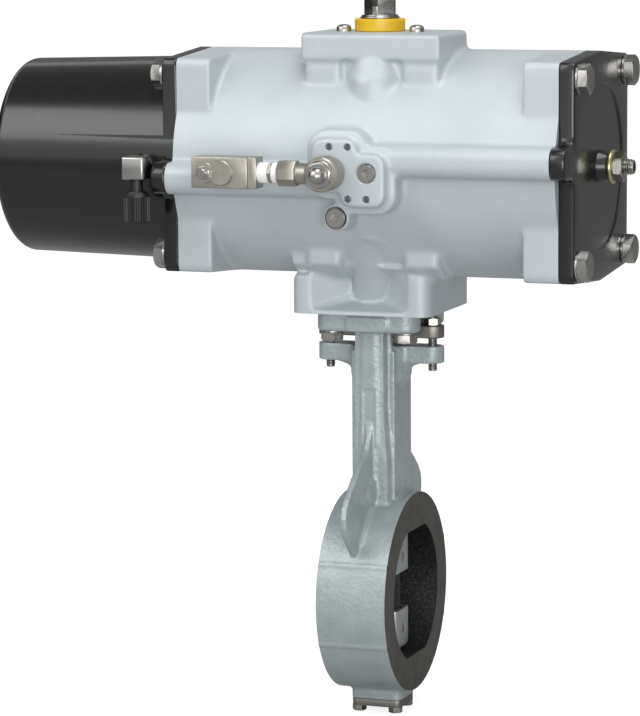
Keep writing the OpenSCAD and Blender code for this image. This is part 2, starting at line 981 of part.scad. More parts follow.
module return_spring() {
  steps = 20;
  sides = 8;
  wire_r = spring_wire_d / 2;
  n = spring_coils * steps;
  lead = (spring_end_x - spring_start_x - spring_wire_d) / n;
  points = [
    for (i = [0:n], j = [0:sides - 1])
      let (a = i * 360 / steps, b = j * 360 / sides, r = spring_r + wire_r * cos(b))
        [spring_start_x + wire_r + i * lead + wire_r * sin(b), r * cos(a), r * sin(a)]];
  skin = [
    for (i = [0:n - 1], j = [0:sides - 1])
      let (k = (j + 1) % sides)
        [i * sides + j, (i + 1) * sides + j, (i + 1) * sides + k, i * sides + k]];
  first = [[for (j = [0:sides - 1]) j]];
  last = [[for (j = [sides - 1:-1:0]) n * sides + j]];
  color("slategray")
    left_side()
      polyhedron(points = points, faces = concat(skin, first, last), convexity = 10);
}

module spring_seat() {
  color("gray")
    left_side()
      difference() {
        rod_x(spring_r + 10, spring_end_x + 0.1, spring_end_x + spring_seat_t);
        rod_x(12, spring_end_x - 1, spring_end_x + spring_seat_t + 1);
      }
}

// Half section of the spring housing, drawn as radius and length
module housing_section() {
  r0 = housing_r;
  r1 = housing_end_r;
  w = housing_wall;
  round = 6;
  difference() {
    union() {
      polygon([[0, 0], [r0, 0], [r1, housing_len - round], [0, housing_len - round]]);
      square([r1 - round, housing_len]);
      translate([r1 - round, housing_len - round])
        circle(r = round);
    }
    polygon([[-1, -1], [r0 - w, -1], [r1 - w, housing_len - w], [-1, housing_len - w]]);
    translate([-20, -1])
      square([20, housing_len + 2]);
  }
}

module spring_cover() {
  color("dimgray")
    at_axis()
      difference() {
        union() {
          along_x(cover_left_x, body_left_x)
            flange_outline(-nose_z);
          translate([cover_left_x, 0, 0])
            rotate([0, -90, 0])
              rotate_extrude($fn = 144)
                housing_section();
          // Boss for the breather
          translate([breather_x, 0, 0])
            rod_y(8, elbow_back_y, -housing_end_r + 4);
          along_x(body_left_x - 0.01, body_left_x + 5)
            circle(r = bore_r - 0.1, $fn = 144);
        }
        rod_x(bore_r, cover_left_x - 0.01, body_left_x + 6, $fn = 144);
        translate([breather_x, 0, 0])
          rod_y(4.5, elbow_back_y - 3, elbow_back_y + 27);
        at_cover_bolts()
          rod_x(5.5, cover_left_x - 1, body_left_x + 1);
        seal_groove(body_left_x + 1.2);
      }
}

module seal_groove(x) {
  difference() {
    rod_x(bore_r + 1, x, x + 2.6, $fn = 144);
    rod_x(bore_r - 2.1, x - 1, x + 4, $fn = 144);
  }
}

module end_cover() {
  color("dimgray")
    at_axis()
      difference() {
        union() {
          along_x(body_right_x, cover_right_x)
            flange_outline(nose_z);
          rod_x(bore_r - 0.1, body_right_x - 5, body_right_x + 0.01, $fn = 144);
          rod_x(9.5, cover_right_x - 3, cover_right_x + 5.5);
        }
        // Shallow round step in the outer face
        difference() {
          rod_x(50, cover_right_x - 1, cover_right_x + 1, $fn = 120);
          rod_x(9.5, cover_right_x - 2, cover_right_x + 2);
        }
        rod_x(40, body_right_x - 6, body_right_x + 2);
        rod_x(5 + fit, body_right_x - 10, cover_right_x + 10);
        at_cover_bolts()
          rod_x(5.5, body_right_x - 6, cover_right_x + 1);
        seal_groove(body_right_x - 3.8);
      }
}

module cover_seals() {
  color("black")
    at_axis()
      for (x = [body_left_x + 1.2, body_right_x - 3.8])
        difference() {
          rod_x(bore_r - 0.02, x + fit, x + 2.6 - fit, $fn = 144);
          rod_x(bore_r - 2.1 + fit, x - 1, x + 4, $fn = 144);
        }
}

module cover_bolt(out) {
  hex_x(17, out + 1.8, out + 8);
  rod_x(5, out - 27, out + 2);
}

module at_both_covers() {
  at_axis() {
    at_cover_bolts()
      translate([cover_right_x, 0, 0])
        children();
    at_cover_bolts()
      translate([cover_left_x, 0, 0])
        mirror([1, 0, 0])
          children();
  }
}

module cover_bolts() {
  color("silver")
    at_both_covers()
      cover_bolt(0);
}

module cover_washers() {
  color("gainsboro")
    at_both_covers()
      difference() {
        rod_x(9.2, 0, 1.8);
        rod_x(5.2, -1, 3);
      }
}

// Travel stop in the plain cover

module stop_bolt() {
  color("silver")
    at_axis()
      difference() {
        rod_x(5, stop_tip_x, cover_right_x + 21);
        hex_x(5, cover_right_x + 15, cover_right_x + 22);
      }
}

module stop_seal() {
  color("khaki")
    at_axis()
      difference() {
        rod_x(10.9, cover_right_x + 5.5, cover_right_x + 8.7);
        rod_x(5.1, cover_right_x + 4, cover_right_x + 10);
      }
}

module stop_nut() {
  color("silver")
    at_axis()
      difference() {
        hex_x(17, cover_right_x + 8.7, cover_right_x + 15);
        rod_x(5 + fit, cover_right_x + 8, cover_right_x + 16);
      }
}

module top_screws() {
  color("silver")
    at_axis()
      translate([top_pad_x + 0.5, -8, 0])
        for (s = [-1, 1])
          translate([s * 24.3, 0, 0]) {
            rod_z(2.5, top_pad_z - 9, top_pad_z + 1);
            rod_z(4.7, top_pad_z, top_pad_z + 2.4);
            intersection() {
              translate([0, 0, top_pad_z - 1])
                sphere(r = 5.6);
              rod_z(4.7, top_pad_z, top_pad_z + 4.6);
            }
          }
}

// Socket plug with its head at y, threaded part behind it
module socket_plug(r, y, depth) {
  difference() {
    rod_y(r, y, y + depth);
    hex_y(r * 0.85, y - 1, y + 3.5);
  }
}

module port_plug() {
  color("silver")
    at_axis()
      translate([pad_x + port_pitch / 2, 0, 0])
        socket_plug(5.8 - fit, pad_front_y + 0.2, 9);
}

module channel_plug() {
  color("silver")
    at_axis()
      translate([-1, 0, -28.5]) {
        socket_plug(6.4, -85.5, 5.3);
        rod_y(4.6, -80.3, -71);
      }
}

// Speed controller and its fittings

banjo_x = pad_x - port_pitch / 2;

module banjo_fitting() {
  color("tan")
    at_axis()
      difference() {
        union() {
          translate([banjo_x, 0, 0])
            rod_y(10.8, pad_front_y - 16, pad_front_y - 0.8);
          translate([0, pad_front_y - 8.4, 0])
            rod_x(6.6, banjo_x - 18, banjo_x);
          translate([0, pad_front_y - 8.4, 0])
            rod_x(8.2, banjo_x - 29, banjo_x - 16.5);
        }
        translate([banjo_x, 0, 0])
          rod_y(6.2, pad_front_y - 17, pad_front_y);
        translate([0, pad_front_y - 8.4, 0])
          rod_x(5.2, banjo_x - 30, banjo_x - 18);
        translate([0, pad_front_y - 8.4, 0])
          rod_x(3, banjo_x - 20, banjo_x);
      }
}

module banjo_bolt() {
  color("silver")
    at_axis()
      translate([banjo_x, 0, 0]) {
        rod_y(5.8 - fit, pad_front_y - 0.8, pad_front_y + 10);
        rod_y(5.6, pad_front_y - 17, pad_front_y + 1);
        rod_y(8.6, pad_front_y - 17.2, pad_front_y - 16);
        hex_y(15, pad_front_y - 20.5, pad_front_y - 17.2);
        rod_y(5.4, pad_front_y - 22.5, pad_front_y - 20);
        intersection() {
          translate([0, pad_front_y - 20.5, 0])
            sphere(r = 5.4);
          rod_y(5.4, pad_front_y - 27, pad_front_y - 20.5);
        }
      }
}

nipple_left_x = banjo_x - 29 - 15;
controller_right_x = nipple_left_x + 4;

module nipple() {
  color("silver")
    at_axis()
      translate([0, pad_front_y - 8.4, 0])
        difference() {
          union() {
            rod_x(5.15, nipple_left_x, banjo_x - 22);
            rod_x(6, nipple_left_x + 8.6, nipple_left_x + 11);
          }
          rod_x(3, nipple_left_x - 1, banjo_x);
        }
}

module thread_tape() {
  color("white")
    at_axis()
      translate([0, pad_front_y - 8.4, 0])
        for (x = [[controller_right_x - 2.2, nipple_left_x + 8.5], [nipple_left_x + 11.1, banjo_x - 29.1]])
          difference() {
            rod_x(6.5, x[0], x[1]);
            rod_x(5.2, x[0] - 1, x[1] + 1);
          }
}

module speed_controller() {
  h = controller_h;
  x1 = controller_right_x - 2.3;
  x0 = x1 - controller_len - 2;
  color("tan")
    at_axis()
      translate([0, pad_front_y - 8.4, 0])
        difference() {
          union() {
            translate([x0, -8.4, -h / 2])
              cube([controller_len - 3, 15.6, h]);
            translate([x0 + 8, -6, -h / 2])
              cube([controller_len - 6, 13.2, h]);
            translate([x0 + 19.5, 0, 0])
              rod_y(8, -10.2, 0);
            translate([x0 + 9.5, 0, 0])
              rod_y(6.4, -10.2, 0);
          }
          rod_x(5.2, x1 - 9, x1 + 1);
          rod_x(3, x0 + 12, x1 + 1);
          rod_x(inlet_r, x0 - 1, x0 + 11);
          translate([x0 + 9.5, 0, 0])
            rod_y(3 + fit, -11, -6.2);
        }
}

needle_x = controller_right_x - 2.3 - controller_len - 2 + 9.5;

module needle_screw() {
  color("silver")
    at_axis()
      translate([needle_x, pad_front_y - 8.4, 0])
        difference() {
          rod_y(3, -15.8, -6.4);
          translate([-0.6, -16.4, -4])
            cube([1.2, 1.8, 8]);
        }
}

module needle_nut() {
  color("silver")
    at_axis()
      translate([needle_x, pad_front_y - 8.4, 0])
        difference() {
          hex_y(8, -13.4, -10.2);
          rod_y(3 + fit, -14, -8);
        }
}

// Breather of the spring housing

module elbow() {
  color("silver")
    at_axis()
      translate([breather_x, elbow_back_y, 0])
        difference() {
          union() {
            translate([-7.5, -15, -7.4])
              cube([15, 15, 14.6]);
            rod_y(4.45, -1, 13);
          }
          translate([0, -7.5, 0])
            rod_z(4 + fit, -9, 0);
          rod_y(2.5, -8, 17);
        }
}

module silencer() {
  color("black")
    at_axis()
      translate([breather_x, elbow_back_y - 7.5, 0])
        difference() {
          union() {
            rod_z(4, -16, -2);
            rod_z(9, -34.5, -15);
          }
          for (a = [0:30:330])
            rotate([0, 0, a])
              translate([9.2, 0, 0])
                rod_z(1.1, -35, -18);
          rod_z(6.2, -35, -31);
        }
}

valve_body();
seat_ring();
seat_retainer();
retainer_screws();
upper_stem_bush();
lower_stem_bush();
stem_packing();
gland_follower();
gland_plate();
gland_studs();
gland_nuts();
bottom_cover();
bottom_gasket();
bottom_cover_bolts();
yoke_bolts();
yoke_washers();
stem();
disc();
disc_pins();
actuator_body();
lower_shaft_bush();
upper_shaft_bush();
output_shaft();
thrust_ring();
shaft_washer();
shaft_clip();
left_piston();
left_piston_seal();
left_piston_band();
right_piston();
right_piston_seal();
right_piston_band();
return_spring();
spring_seat();
spring_cover();
end_cover();
cover_seals();
cover_bolts();
cover_washers();
stop_bolt();
stop_seal();
stop_nut();
top_screws();
port_plug();
channel_plug();
banjo_fitting();
banjo_bolt();
nipple();
thread_tape();
speed_controller();
needle_screw();
needle_nut();
elbow();
silencer();
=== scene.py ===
"""Looks of the pneumatic butterfly valve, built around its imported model."""
import json
from math import cos, hypot, pi, radians, sin, sqrt

import bpy
from mathutils import Matrix, Vector


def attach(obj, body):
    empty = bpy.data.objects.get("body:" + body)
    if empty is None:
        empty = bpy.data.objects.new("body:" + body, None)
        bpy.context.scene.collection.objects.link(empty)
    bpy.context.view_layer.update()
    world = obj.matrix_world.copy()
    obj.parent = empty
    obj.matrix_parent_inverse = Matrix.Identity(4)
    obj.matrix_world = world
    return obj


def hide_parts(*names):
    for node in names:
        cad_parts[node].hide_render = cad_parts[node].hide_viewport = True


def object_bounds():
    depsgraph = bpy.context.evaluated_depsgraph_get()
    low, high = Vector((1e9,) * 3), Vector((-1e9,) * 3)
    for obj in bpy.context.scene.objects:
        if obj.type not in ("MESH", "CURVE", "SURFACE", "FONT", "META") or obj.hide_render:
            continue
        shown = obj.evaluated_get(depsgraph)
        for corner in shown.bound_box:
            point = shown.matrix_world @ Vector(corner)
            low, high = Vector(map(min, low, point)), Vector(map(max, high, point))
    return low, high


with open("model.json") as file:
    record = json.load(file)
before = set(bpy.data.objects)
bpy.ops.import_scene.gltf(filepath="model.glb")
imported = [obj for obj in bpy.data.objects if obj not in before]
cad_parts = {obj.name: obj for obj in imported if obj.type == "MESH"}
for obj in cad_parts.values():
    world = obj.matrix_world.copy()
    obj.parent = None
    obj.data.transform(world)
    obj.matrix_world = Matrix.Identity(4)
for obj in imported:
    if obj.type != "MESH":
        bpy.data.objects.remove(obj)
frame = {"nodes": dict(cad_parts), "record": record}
cad_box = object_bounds()
bpy.ops.object.select_all(action="DESELECT")

MM = 0.001
AXIS_Z = 278.0  # height of the cylinder axis above the flow opening
ALONG = {"x": Vector((1, 0, 0)), "y": Vector((0, 1, 0)), "z": Vector((0, 0, 1))}
TURN = {"x": (0, pi / 2, 0), "y": (-pi / 2, 0, 0), "z": (0, 0, 0)}


# Modelling steps, all sizes in millimetres

def four(x, y):
    """The corners of a rectangle about the origin."""
    return [(i, j) for i in (-x, x) for j in (-y, y)]


def active():
    """The piece that the last step made."""
    return bpy.context.view_layer.objects.active


def deselect():
    bpy.ops.object.select_all(action="DESELECT")


def mode(kind):
    bpy.ops.object.mode_set(mode=kind)


def choose(action="SELECT"):
    bpy.ops.mesh.select_all(action=action)


def take(piece):
    """Makes a piece the one that the next step works on."""
    deselect()
    piece.select_set(True)
    bpy.context.view_layer.objects.active = piece


def settle(piece):
    """Puts the place and turn of a piece into its mesh."""
    take(piece)
    bpy.ops.object.transform_apply(location=True, rotation=True, scale=True)
    return piece


def open_mesh():
    """Starts editing the active piece, with all of its mesh selected."""
    mode("EDIT")
    choose()


def close_mesh():
    """Turns the normals outward and ends the editing."""
    choose()
    bpy.ops.mesh.normals_make_consistent(inside=False)
    mode("OBJECT")


def end_disc(name, radius, sides, location, rotation=(0, 0, 0)):
    """A flat round end, open for editing, that a round piece is drawn out of."""
    deselect()
    bpy.ops.mesh.primitive_circle_add(vertices=sides, radius=radius * MM, fill_type="NGON",
                                      location=location, rotation=rotation)
    piece = settle(active())
    piece.name = name
    open_mesh()
    return piece


def draw_out(shift, scale, middle):
    """Extrudes the selected end and changes its size about its middle."""
    bpy.ops.mesh.extrude_region_move(TRANSFORM_OT_translate={"value": shift})
    bpy.ops.transform.resize(value=(scale, scale, scale), center_override=middle)


def turned(name, axis, centre, steps, sides=64, ring=False):
    """A lathe part: each step is (place along the axis, radius)."""
    along = ALONG[axis]
    middle = Vector(centre) * MM
    place, radius = steps[0]
    piece = end_disc(name, radius, sides, middle + along * place * MM, TURN[axis])
    for next_place, next_radius in steps[1:]:
        draw_out(along * (next_place - place) * MM, next_radius / radius, middle + along * next_place * MM)
        place, radius = next_place, next_radius
    if ring:
        # The two end discs go and their edges are bridged, which leaves the hole open
        bpy.ops.mesh.select_mode(type="FACE")
        choose("DESELECT")
        mode("OBJECT")
        for face in piece.data.polygons:
            face.select = len(face.vertices) > 4
        mode("EDIT")
        bpy.ops.mesh.delete(type="ONLY_FACE")
        bpy.ops.mesh.select_mode(type="EDGE")
        choose("DESELECT")
        bpy.ops.mesh.select_non_manifold()
        bpy.ops.mesh.bridge_edge_loops()
        bpy.ops.mesh.select_mode(type="VERT")
    close_mesh()
    return piece


def block(name, low, high):
    """A box between two corners."""
    low, high = Vector(low) * MM, Vector(high) * MM
    deselect()
    bpy.ops.mesh.primitive_cube_add(size=1, location=(low + high) / 2)
    piece = active()
    piece.name = name
    piece.scale = high - low
    return settle(piece)


def prism(name, axis, centre, flats, start, end, sides=6, spin=0.0):
    """A bar with flat sides, sized across its flats."""
    along = ALONG[axis]
    radius = flats / 2 / cos(pi / sides)
    deselect()
    bpy.ops.mesh.primitive_cylinder_add(
        vertices=sides, radius=radius * MM, depth=(end - start) * MM,
        location=(Vector(centre) + along * (start + end) / 2) * MM)
    piece = active()
    piece.name = name
    upright = Vector((0, 0, 1)).rotation_difference(along).to_matrix()
    piece.rotation_euler = (Matrix.Rotation(spin, 3, along) @ upright).to_euler()
    return settle(piece)


def slab(name, axis, outline, start, end):
    """A plate with a drawn outline: (y, z) pairs along x, (x, z) along y, (x, y) along z."""
    along = ALONG[axis]

    def spot(u, v):
        return Vector({"x": (start, u, v), "y": (u, start, v), "z": (u, v, start)}[axis]) * MM

    corners = [spot(u, v) for u, v in outline]
    deselect()
    bpy.ops.mesh.primitive_plane_add(size=MM, location=corners[0])
    piece = settle(active())
    piece.name = name
    open_mesh()
    bpy.ops.mesh.merge(type="CENTER")
    for here, there in zip(corners, corners[1:]):
        bpy.ops.mesh.extrude_vertices_move(TRANSFORM_OT_translate={"value": there - here})
    choose()
    bpy.ops.mesh.edge_face_add()
    bpy.ops.mesh.extrude_region_move(TRANSFORM_OT_translate={"value": along * (end - start) * MM})
    close_mesh()
    return piece


def to_side(side, outline):
    """An outline as drawn (side 1), or mirrored (side -1)."""
    return [(side * u, v) for u, v in outline]


def arc(cx, cy, radius, first, last, count=6):
    """Points on an arc, angles in degrees."""
    return [(cx + radius * cos(radians(first + (last - first) * i / count)),
             cy + radius * sin(radians(first + (last - first) * i / count)))
            for i in range(count + 1)]


def apply(piece, kind, **settings):
    """Adds a modifier with its settings and applies it."""
    take(piece)
    modifier = piece.modifiers.new(kind, kind)
    for key, value in settings.items():
        setattr(modifier, key, value)
    bpy.ops.object.modifier_apply(modifier=modifier.name)
    return piece


def combine(piece, operation, others):
    """Joins, cuts or overlaps a piece with others, which are used up."""
    for other in others:
        apply(piece, "BOOLEAN", operation=operation, solver="EXACT", object=other)
        bpy.data.objects.remove(other)
    return piece


def join_on(piece, *others):
    """Welds other pieces onto one piece."""
    return combine(piece, "UNION", others)


def cut_away(piece, *cutters):
    """Machines cutters out of a piece."""
    return combine(piece, "DIFFERENCE", cutters)


def keep_within(piece, form):
    """Leaves only what a piece shares with a form."""
    return combine(piece, "INTERSECT", [form])


def soften(piece, width, angle=32, segments=3):
    """Rounds the edges that are sharper than an angle."""
    apply(piece, "BEVEL", width=width * MM, segments=segments, limit_method="ANGLE",
          angle_limit=radians(angle))
    return piece


def smooth(piece, angle=35):
    """Shades a piece smooth, apart from its sharp edges."""
    take(piece)
    bpy.ops.object.shade_smooth_by_angle(angle=radians(angle))
    return piece


def gather(name, *pieces):
    """Makes separate bodies of the same kind one object."""
    deselect()
    for piece in pieces:
        piece.select_set(True)
    bpy.context.view_layer.objects.active = pieces[0]
    if len(pieces) > 1:
        bpy.ops.object.join()
    pieces[0].name = name
    return pieces[0]


def cad_copy(node, name):
    """A welded copy of a CAD node, to dress."""
    source = frame["nodes"][node]
    piece = source.copy()
    piece.data = source.data.copy()
    piece.parent = None
    for key in list(piece.keys()):
        del piece[key]
    piece.name = name
    bpy.context.scene.collection.objects.link(piece)
    take(piece)
    open_mesh()
    bpy.ops.mesh.remove_doubles(threshold=0.002 * MM)
    bpy.ops.mesh.customdata_custom_splitnormals_clear()
    mode("OBJECT")
    return piece


def fit_out(piece, body, material, slot, *nodes):
    """Gives a finished piece its material and body, and hides the nodes it stands for; the record slot is not
    used.
    """
    if material:
        piece.data.materials.clear()
        piece.data.materials.append(material)
    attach(piece, body)
    if nodes:
        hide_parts(*nodes)
    return piece


# Materials

def hex_colour(code):
    """An sRGB hex colour as a linear one."""
    parts = [int(code[i:i + 2], 16) / 255 for i in (1, 3, 5)]
    return tuple(c / 12.92 if c <= 0.04045 else ((c + 0.055) / 1.055) ** 2.4 for c in parts) + (1.0,)


def add(tree, kind, inputs=None, **settings):
    """Adds a node with its settings; an input is a value or another node's socket."""
    node = tree.nodes.new(kind)
    for key, value in settings.items():
        setattr(node, key, value)
    for key, value in (inputs or {}).items():
        if isinstance(value, bpy.types.NodeSocket):
            tree.links.new(value, node.inputs[key])
        else:
            node.inputs[key].default_value = value
    return node


def surface(name, base, **inputs):
    """A new material with one shader; returns it with its tree, shader and place on the object."""
    material = bpy.data.materials.new(name)
    material.use_nodes = True
    tree = material.node_tree
    shader = tree.nodes["Principled BSDF"]
    shader.inputs["Base Color"].default_value = hex_colour(base)
    for key, value in inputs.items():
        shader.inputs[key.replace("_", " ")].default_value = value
    place = add(tree, "ShaderNodeTexCoord").outputs["Object"]
    return material, tree, shader, place


def bare_material(name):
    """An empty node material for the set, and its tree."""
    material = bpy.data.materials.new(name)
    material.use_nodes = True
    material.node_tree.nodes.clear()
    return material, material.node_tree


def grain(tree, place, size_mm, detail=2.0, rough=0.5):
    """Noise whose lumps are about so many millimetres across."""
    return add(tree, "ShaderNodeTexNoise", {"Vector": place, "Scale": 1 / (size_mm * MM), "Detail": detail,
                                            "Roughness": rough}).outputs["Fac"]


def shades(tree, shader, factor, low, high, start=0.3, stop=0.7):
    """Colours a shader with a blend of two hex colours by a factor."""
    ramp = add(tree, "ShaderNodeValToRGB", {"Fac": factor})
    ramp.color_ramp.elements[0].color = hex_colour(low)
    ramp.color_ramp.elements[1].color = hex_colour(high)
    ramp.color_ramp.elements[0].position = start
    ramp.color_ramp.elements[1].position = stop
    tree.links.new(ramp.outputs["Color"], shader.inputs["Base Color"])


def gloss_range(tree, shader, factor, low, high):
    """Lets a shader's roughness wander between two values by a factor."""
    span = add(tree, "ShaderNodeMapRange", {"Value": factor, "To Min": low, "To Max": high})
    tree.links.new(span.outputs["Result"], shader.inputs["Roughness"])


def bumps(tree, shader, *layers):
    """Stacks bump layers: each is (height socket, depth in millimetres)."""
    normal = None
    for height, depth in layers:
        inputs = {"Height": height, "Distance": depth * MM, "Strength": 1.0}
        if normal:
            inputs["Normal"] = normal
        normal = add(tree, "ShaderNodeBump", inputs).outputs["Normal"]
    tree.links.new(normal, shader.inputs["Normal"])


def silver_enamel():
    """Silver-grey baked enamel on a die casting: satin, with a fine orange peel."""
    material, tree, shader, place = surface("silver_enamel", "#B4C0C6", Metallic=0.15, Roughness=0.46,
                                            Coat_Weight=0.1, Coat_Roughness=0.35)
    cloud = grain(tree, place, 40, 3.0)
    shades(tree, shader, cloud, "#B3BCC1", "#BCC4C8")
    peel = grain(tree, place, 1.6, 2.0, 0.55)
    gloss_range(tree, shader, peel, 0.42, 0.52)
    bumps(tree, shader, (peel, 0.03))
    return material


def sand_cast_enamel():
    """The same enamel over a sand casting: the sand grain shows through as soft pits."""
    material, tree, shader, place = surface("sand_cast_enamel", "#A9B5BA", Metallic=0.2, Roughness=0.36,
                                            Coat_Weight=0.45, Coat_Roughness=0.2)
    cloud = grain(tree, place, 14, 3.0)
    shades(tree, shader, cloud, "#98A3A5", "#A6B1B3")
    sand = grain(tree, place, 2.4, 3.0, 0.6)
    fine = grain(tree, place, 1.0, 1.0)
    bumps(tree, shader, (grain(tree, place, 3.5), 0.25), (sand, 0.35), (fine, 0.08))
    return material


def black_gloss():
    """Gloss black powder paint: deep, with a long soft wave."""
    material, tree, shader, place = surface("black_gloss_paint", "#0B0C0D", Roughness=0.2, Coat_Weight=0.35,
                                            Coat_Roughness=0.12)
    wave = grain(tree, place, 5, 1.0)
    gloss_range(tree, shader, wave, 0.2, 0.3)
    bumps(tree, shader, (wave, 0.015))
    return material


def stainless(name="stainless_bar", base="#AAA8A4", roughness=0.24, streak_mm=0.5):
    """Bare metal with fine turning streaks: stainless bar stock, or another metal by its own colour."""
    material, tree, shader, place = surface(name, base, Metallic=1.0, Roughness=roughness)
    streak = grain(tree, place, streak_mm)
    gloss_range(tree, shader, streak, roughness - 0.06, roughness + 0.1)
    bumps(tree, shader, (streak, 0.008))
    return material


def nickel():
    """Satin nickel plate on brass: warm, even and slightly cloudy."""
    material, tree, shader, place = surface("satin_nickel_plate", "#A3A097", Metallic=0.9, Roughness=0.38)
    cloud = grain(tree, place, 6)
    shades(tree, shader, cloud, "#9F9C94", "#ABA79D")
    blast = grain(tree, place, 0.7)
    bumps(tree, shader, (blast, 0.015))
    return material


def machined_face():
    """Faced cast steel: brown-grey, with the rings that a lathe leaves about the pipe axis."""
    material, tree, shader, place = surface("lathe_faced_steel", "#56554F", Metallic=0.75, Roughness=0.46)
    ring_mm = 1.2  # the feed marks are drawn coarser than real ones, so that they show
    ring = add(tree, "ShaderNodeTexWave", {"Vector": place, "Scale": 1 / (ring_mm * MM) / 6.283 * 2,
                                           "Distortion": 0.4, "Detail": 2.0},
               wave_type="RINGS", rings_direction="X")
    stain = grain(tree, place, 9, 4.0)
    shades(tree, shader, stain, "#4E4D48", "#605F59")
    bumps(tree, shader, (ring.outputs["Fac"], 0.02))
    return material


def raw_cast():
    """Unpainted sand-cast bore: dark scale with bright specks, painted almost black so that it also carries
    the shade inside the bore (painted shade).
    """
    material, tree, shader, place = surface("raw_cast_scale", "#262727", Metallic=0.6, Roughness=0.42)
    speck = grain(tree, place, 1.3, 3.0, 0.7)
    shades(tree, shader, speck, "#262828", "#626463", 0.5, 0.75)
    bumps(tree, shader, (speck, 0.5))
    return material


def yellow_acetal():
    """Moulded acetal: opaque warm yellow with a waxy shine."""
    material, tree, shader, place = surface("yellow_acetal", "#DDB214", Roughness=0.34,
                                            Subsurface_Weight=0.05, Subsurface_Scale=0.002)
    tint = grain(tree, place, 12, 1.0)
    shades(tree, shader, tint, "#D9AE0C", "#E2BA20")
    bumps(tree, shader, (grain(tree, place, 1.0), 0.006))
    return material


def sealing_tape():
    """Wound PTFE tape: matte white with fine lengthwise creases."""
    material, tree, shader, place = surface("ptfe_tape", "#F1F1EF", Roughness=0.62, Subsurface_Weight=0.1,
                                            Subsurface_Scale=0.001)
    crease = grain(tree, place, 0.9, 3.0, 0.6)
    shades(tree, shader, crease, "#E6E6E4", "#F7F7F6")
    bumps(tree, shader, (crease, 0.08))
    return material


def moulded(name, base, roughness):
    """Moulded black plastic or rubber with an even fine grain."""
    material, tree, shader, place = surface(name, base, Roughness=roughness)
    fine = grain(tree, place, 0.6)
    gloss_range(tree, shader, fine, roughness - 0.05, roughness + 0.08)
    bumps(tree, shader, (fine, 0.01))
    return material


def yellow_chromate():
    """Zinc plate with a yellow chromate film: pale gold with green and pink tints."""
    material, tree, shader, place = surface("yellow_chromate_zinc", "#B9B583", Metallic=0.9, Roughness=0.3)
    film = grain(tree, place, 3)
    shades(tree, shader, film, "#A9A878", "#C9C39A")
    bumps(tree, shader, (grain(tree, place, 0.5), 0.006))
    return material


enamel = silver_enamel()
cast_enamel = sand_cast_enamel()
gloss = black_gloss()
bright = stainless()
# Bare metals: pickled casting is dull and coarse, a milled hub lighter and even, bronze warm and
# porous, a coated spring dark, anodised aluminium pale and silky
dull_steel = stainless("pickled_cast_steel", "#8B8882", 0.42, 0.9)
hub_steel = stainless("machined_cast_hub", "#BEC2C3", 0.38, 0.8)
plate_nickel = nickel()
faced = machined_face()
scale = raw_cast()
acetal = yellow_acetal()
tape = sealing_tape()
breather_plastic = moulded("moulded_black_nylon", "#101112", 0.42)
rubber = moulded("black_nitrile_rubber", "#0C0C0C", 0.6)
chromate = yellow_chromate()
bronze = stainless("sintered_bronze", "#9A7B45", 0.4, 0.6)
spring_steel = stainless("coated_spring_steel", "#3A3D40", 0.4, 1.0)
alloy = stainless("anodised_aluminium", "#B4B6B8", 0.36, 0.8)
filled_ptfe = moulded("filled_ptfe", "#D8D5CA", 0.5)

FINISH = {
    "silver_paint": cast_enamel, "blue_grey_paint": enamel, "black_paint": gloss, "stainless_steel": bright,
    "stainless_cast": hub_steel, "grey_cast_steel": dull_steel, "nickel_plate": plate_nickel,
    "bare_aluminium": alloy, "spring_steel": spring_steel, "bronze": bronze, "yellow_zinc": chromate,
    "yellow_plastic": acetal, "white_tape": tape, "ptfe": filled_ptfe, "black_rubber": rubber,
    "black_plastic": breather_plastic,
}
for row in frame["record"]["subparts"]:
    node = frame["nodes"][row["node"]]
    node.data.materials.clear()
    node.data.materials.append(FINISH[row["material_slot"]])


# Stage, light and camera

WHITE = (1, 1, 1, 1)


def aim(thing, place, target, roll=0.0):
    """Puts a camera or lamp in place and turns it towards a point."""
    back = (Vector(place) - Vector(target)).normalized()
    right = Vector((0, 0, 1)).cross(back).normalized()
    up = back.cross(right)
    side = right * cos(roll) + up * sin(roll)
    top = up * cos(roll) - right * sin(roll)
    thing.matrix_world = Matrix((
        (side.x, top.x, back.x, place[0]), (side.y, top.y, back.y, place[1]),
        (side.z, top.z, back.z, place[2]), (0, 0, 0, 1)))


def camera():
    """The camera that was fitted to the photograph."""
    data = bpy.data.cameras.new("photo_camera")
    data.sensor_width = 36.0
    data.lens = 173.03
    data.clip_end = 60.0
    thing = bpy.data.objects.new("photo_camera", data)
    bpy.context.scene.collection.objects.link(thing)
    target = Vector((-42.07, 0, 149.54)) * MM
    azimuth, height, distance = radians(19.764), radians(7.872), 2.229465
    back = Vector((sin(azimuth) * cos(height), -cos(azimuth) * cos(height), sin(height)))
    aim(thing, target + back * distance, target, radians(-0.391))
    bpy.context.scene.camera = thing


def softbox(name, place, width, depth, watts):
    """A large soft lamp, in metres, aimed at the middle of the object."""
    data = bpy.data.lights.new(name, "AREA")
    data.shape = "RECTANGLE"
    data.size, data.size_y = width, depth
    data.energy = watts
    thing = bpy.data.objects.new(name, data)
    bpy.context.scene.collection.objects.link(thing)
    aim(thing, place, (-0.03, 0, 0.2))


def grey_card(name, place, target, width, height, level):
    """A wall beside the set that only shiny things see, with its own grey level."""
    deselect()
    bpy.ops.mesh.primitive_plane_add(size=1)
    card = active()
    card.name = name
    card.scale = (width, height, 1)
    settle(card)
    aim(card, place, target)
    settle(card)
    material, tree = bare_material(name)
    glow = add(tree, "ShaderNodeEmission", {"Color": WHITE, "Strength": level})
    add(tree, "ShaderNodeOutputMaterial", {"Surface": glow.outputs[0]})
    card.data.materials.append(material)
    card.visible_camera = card.visible_diffuse = card.visible_shadow = card.visible_transmission = False


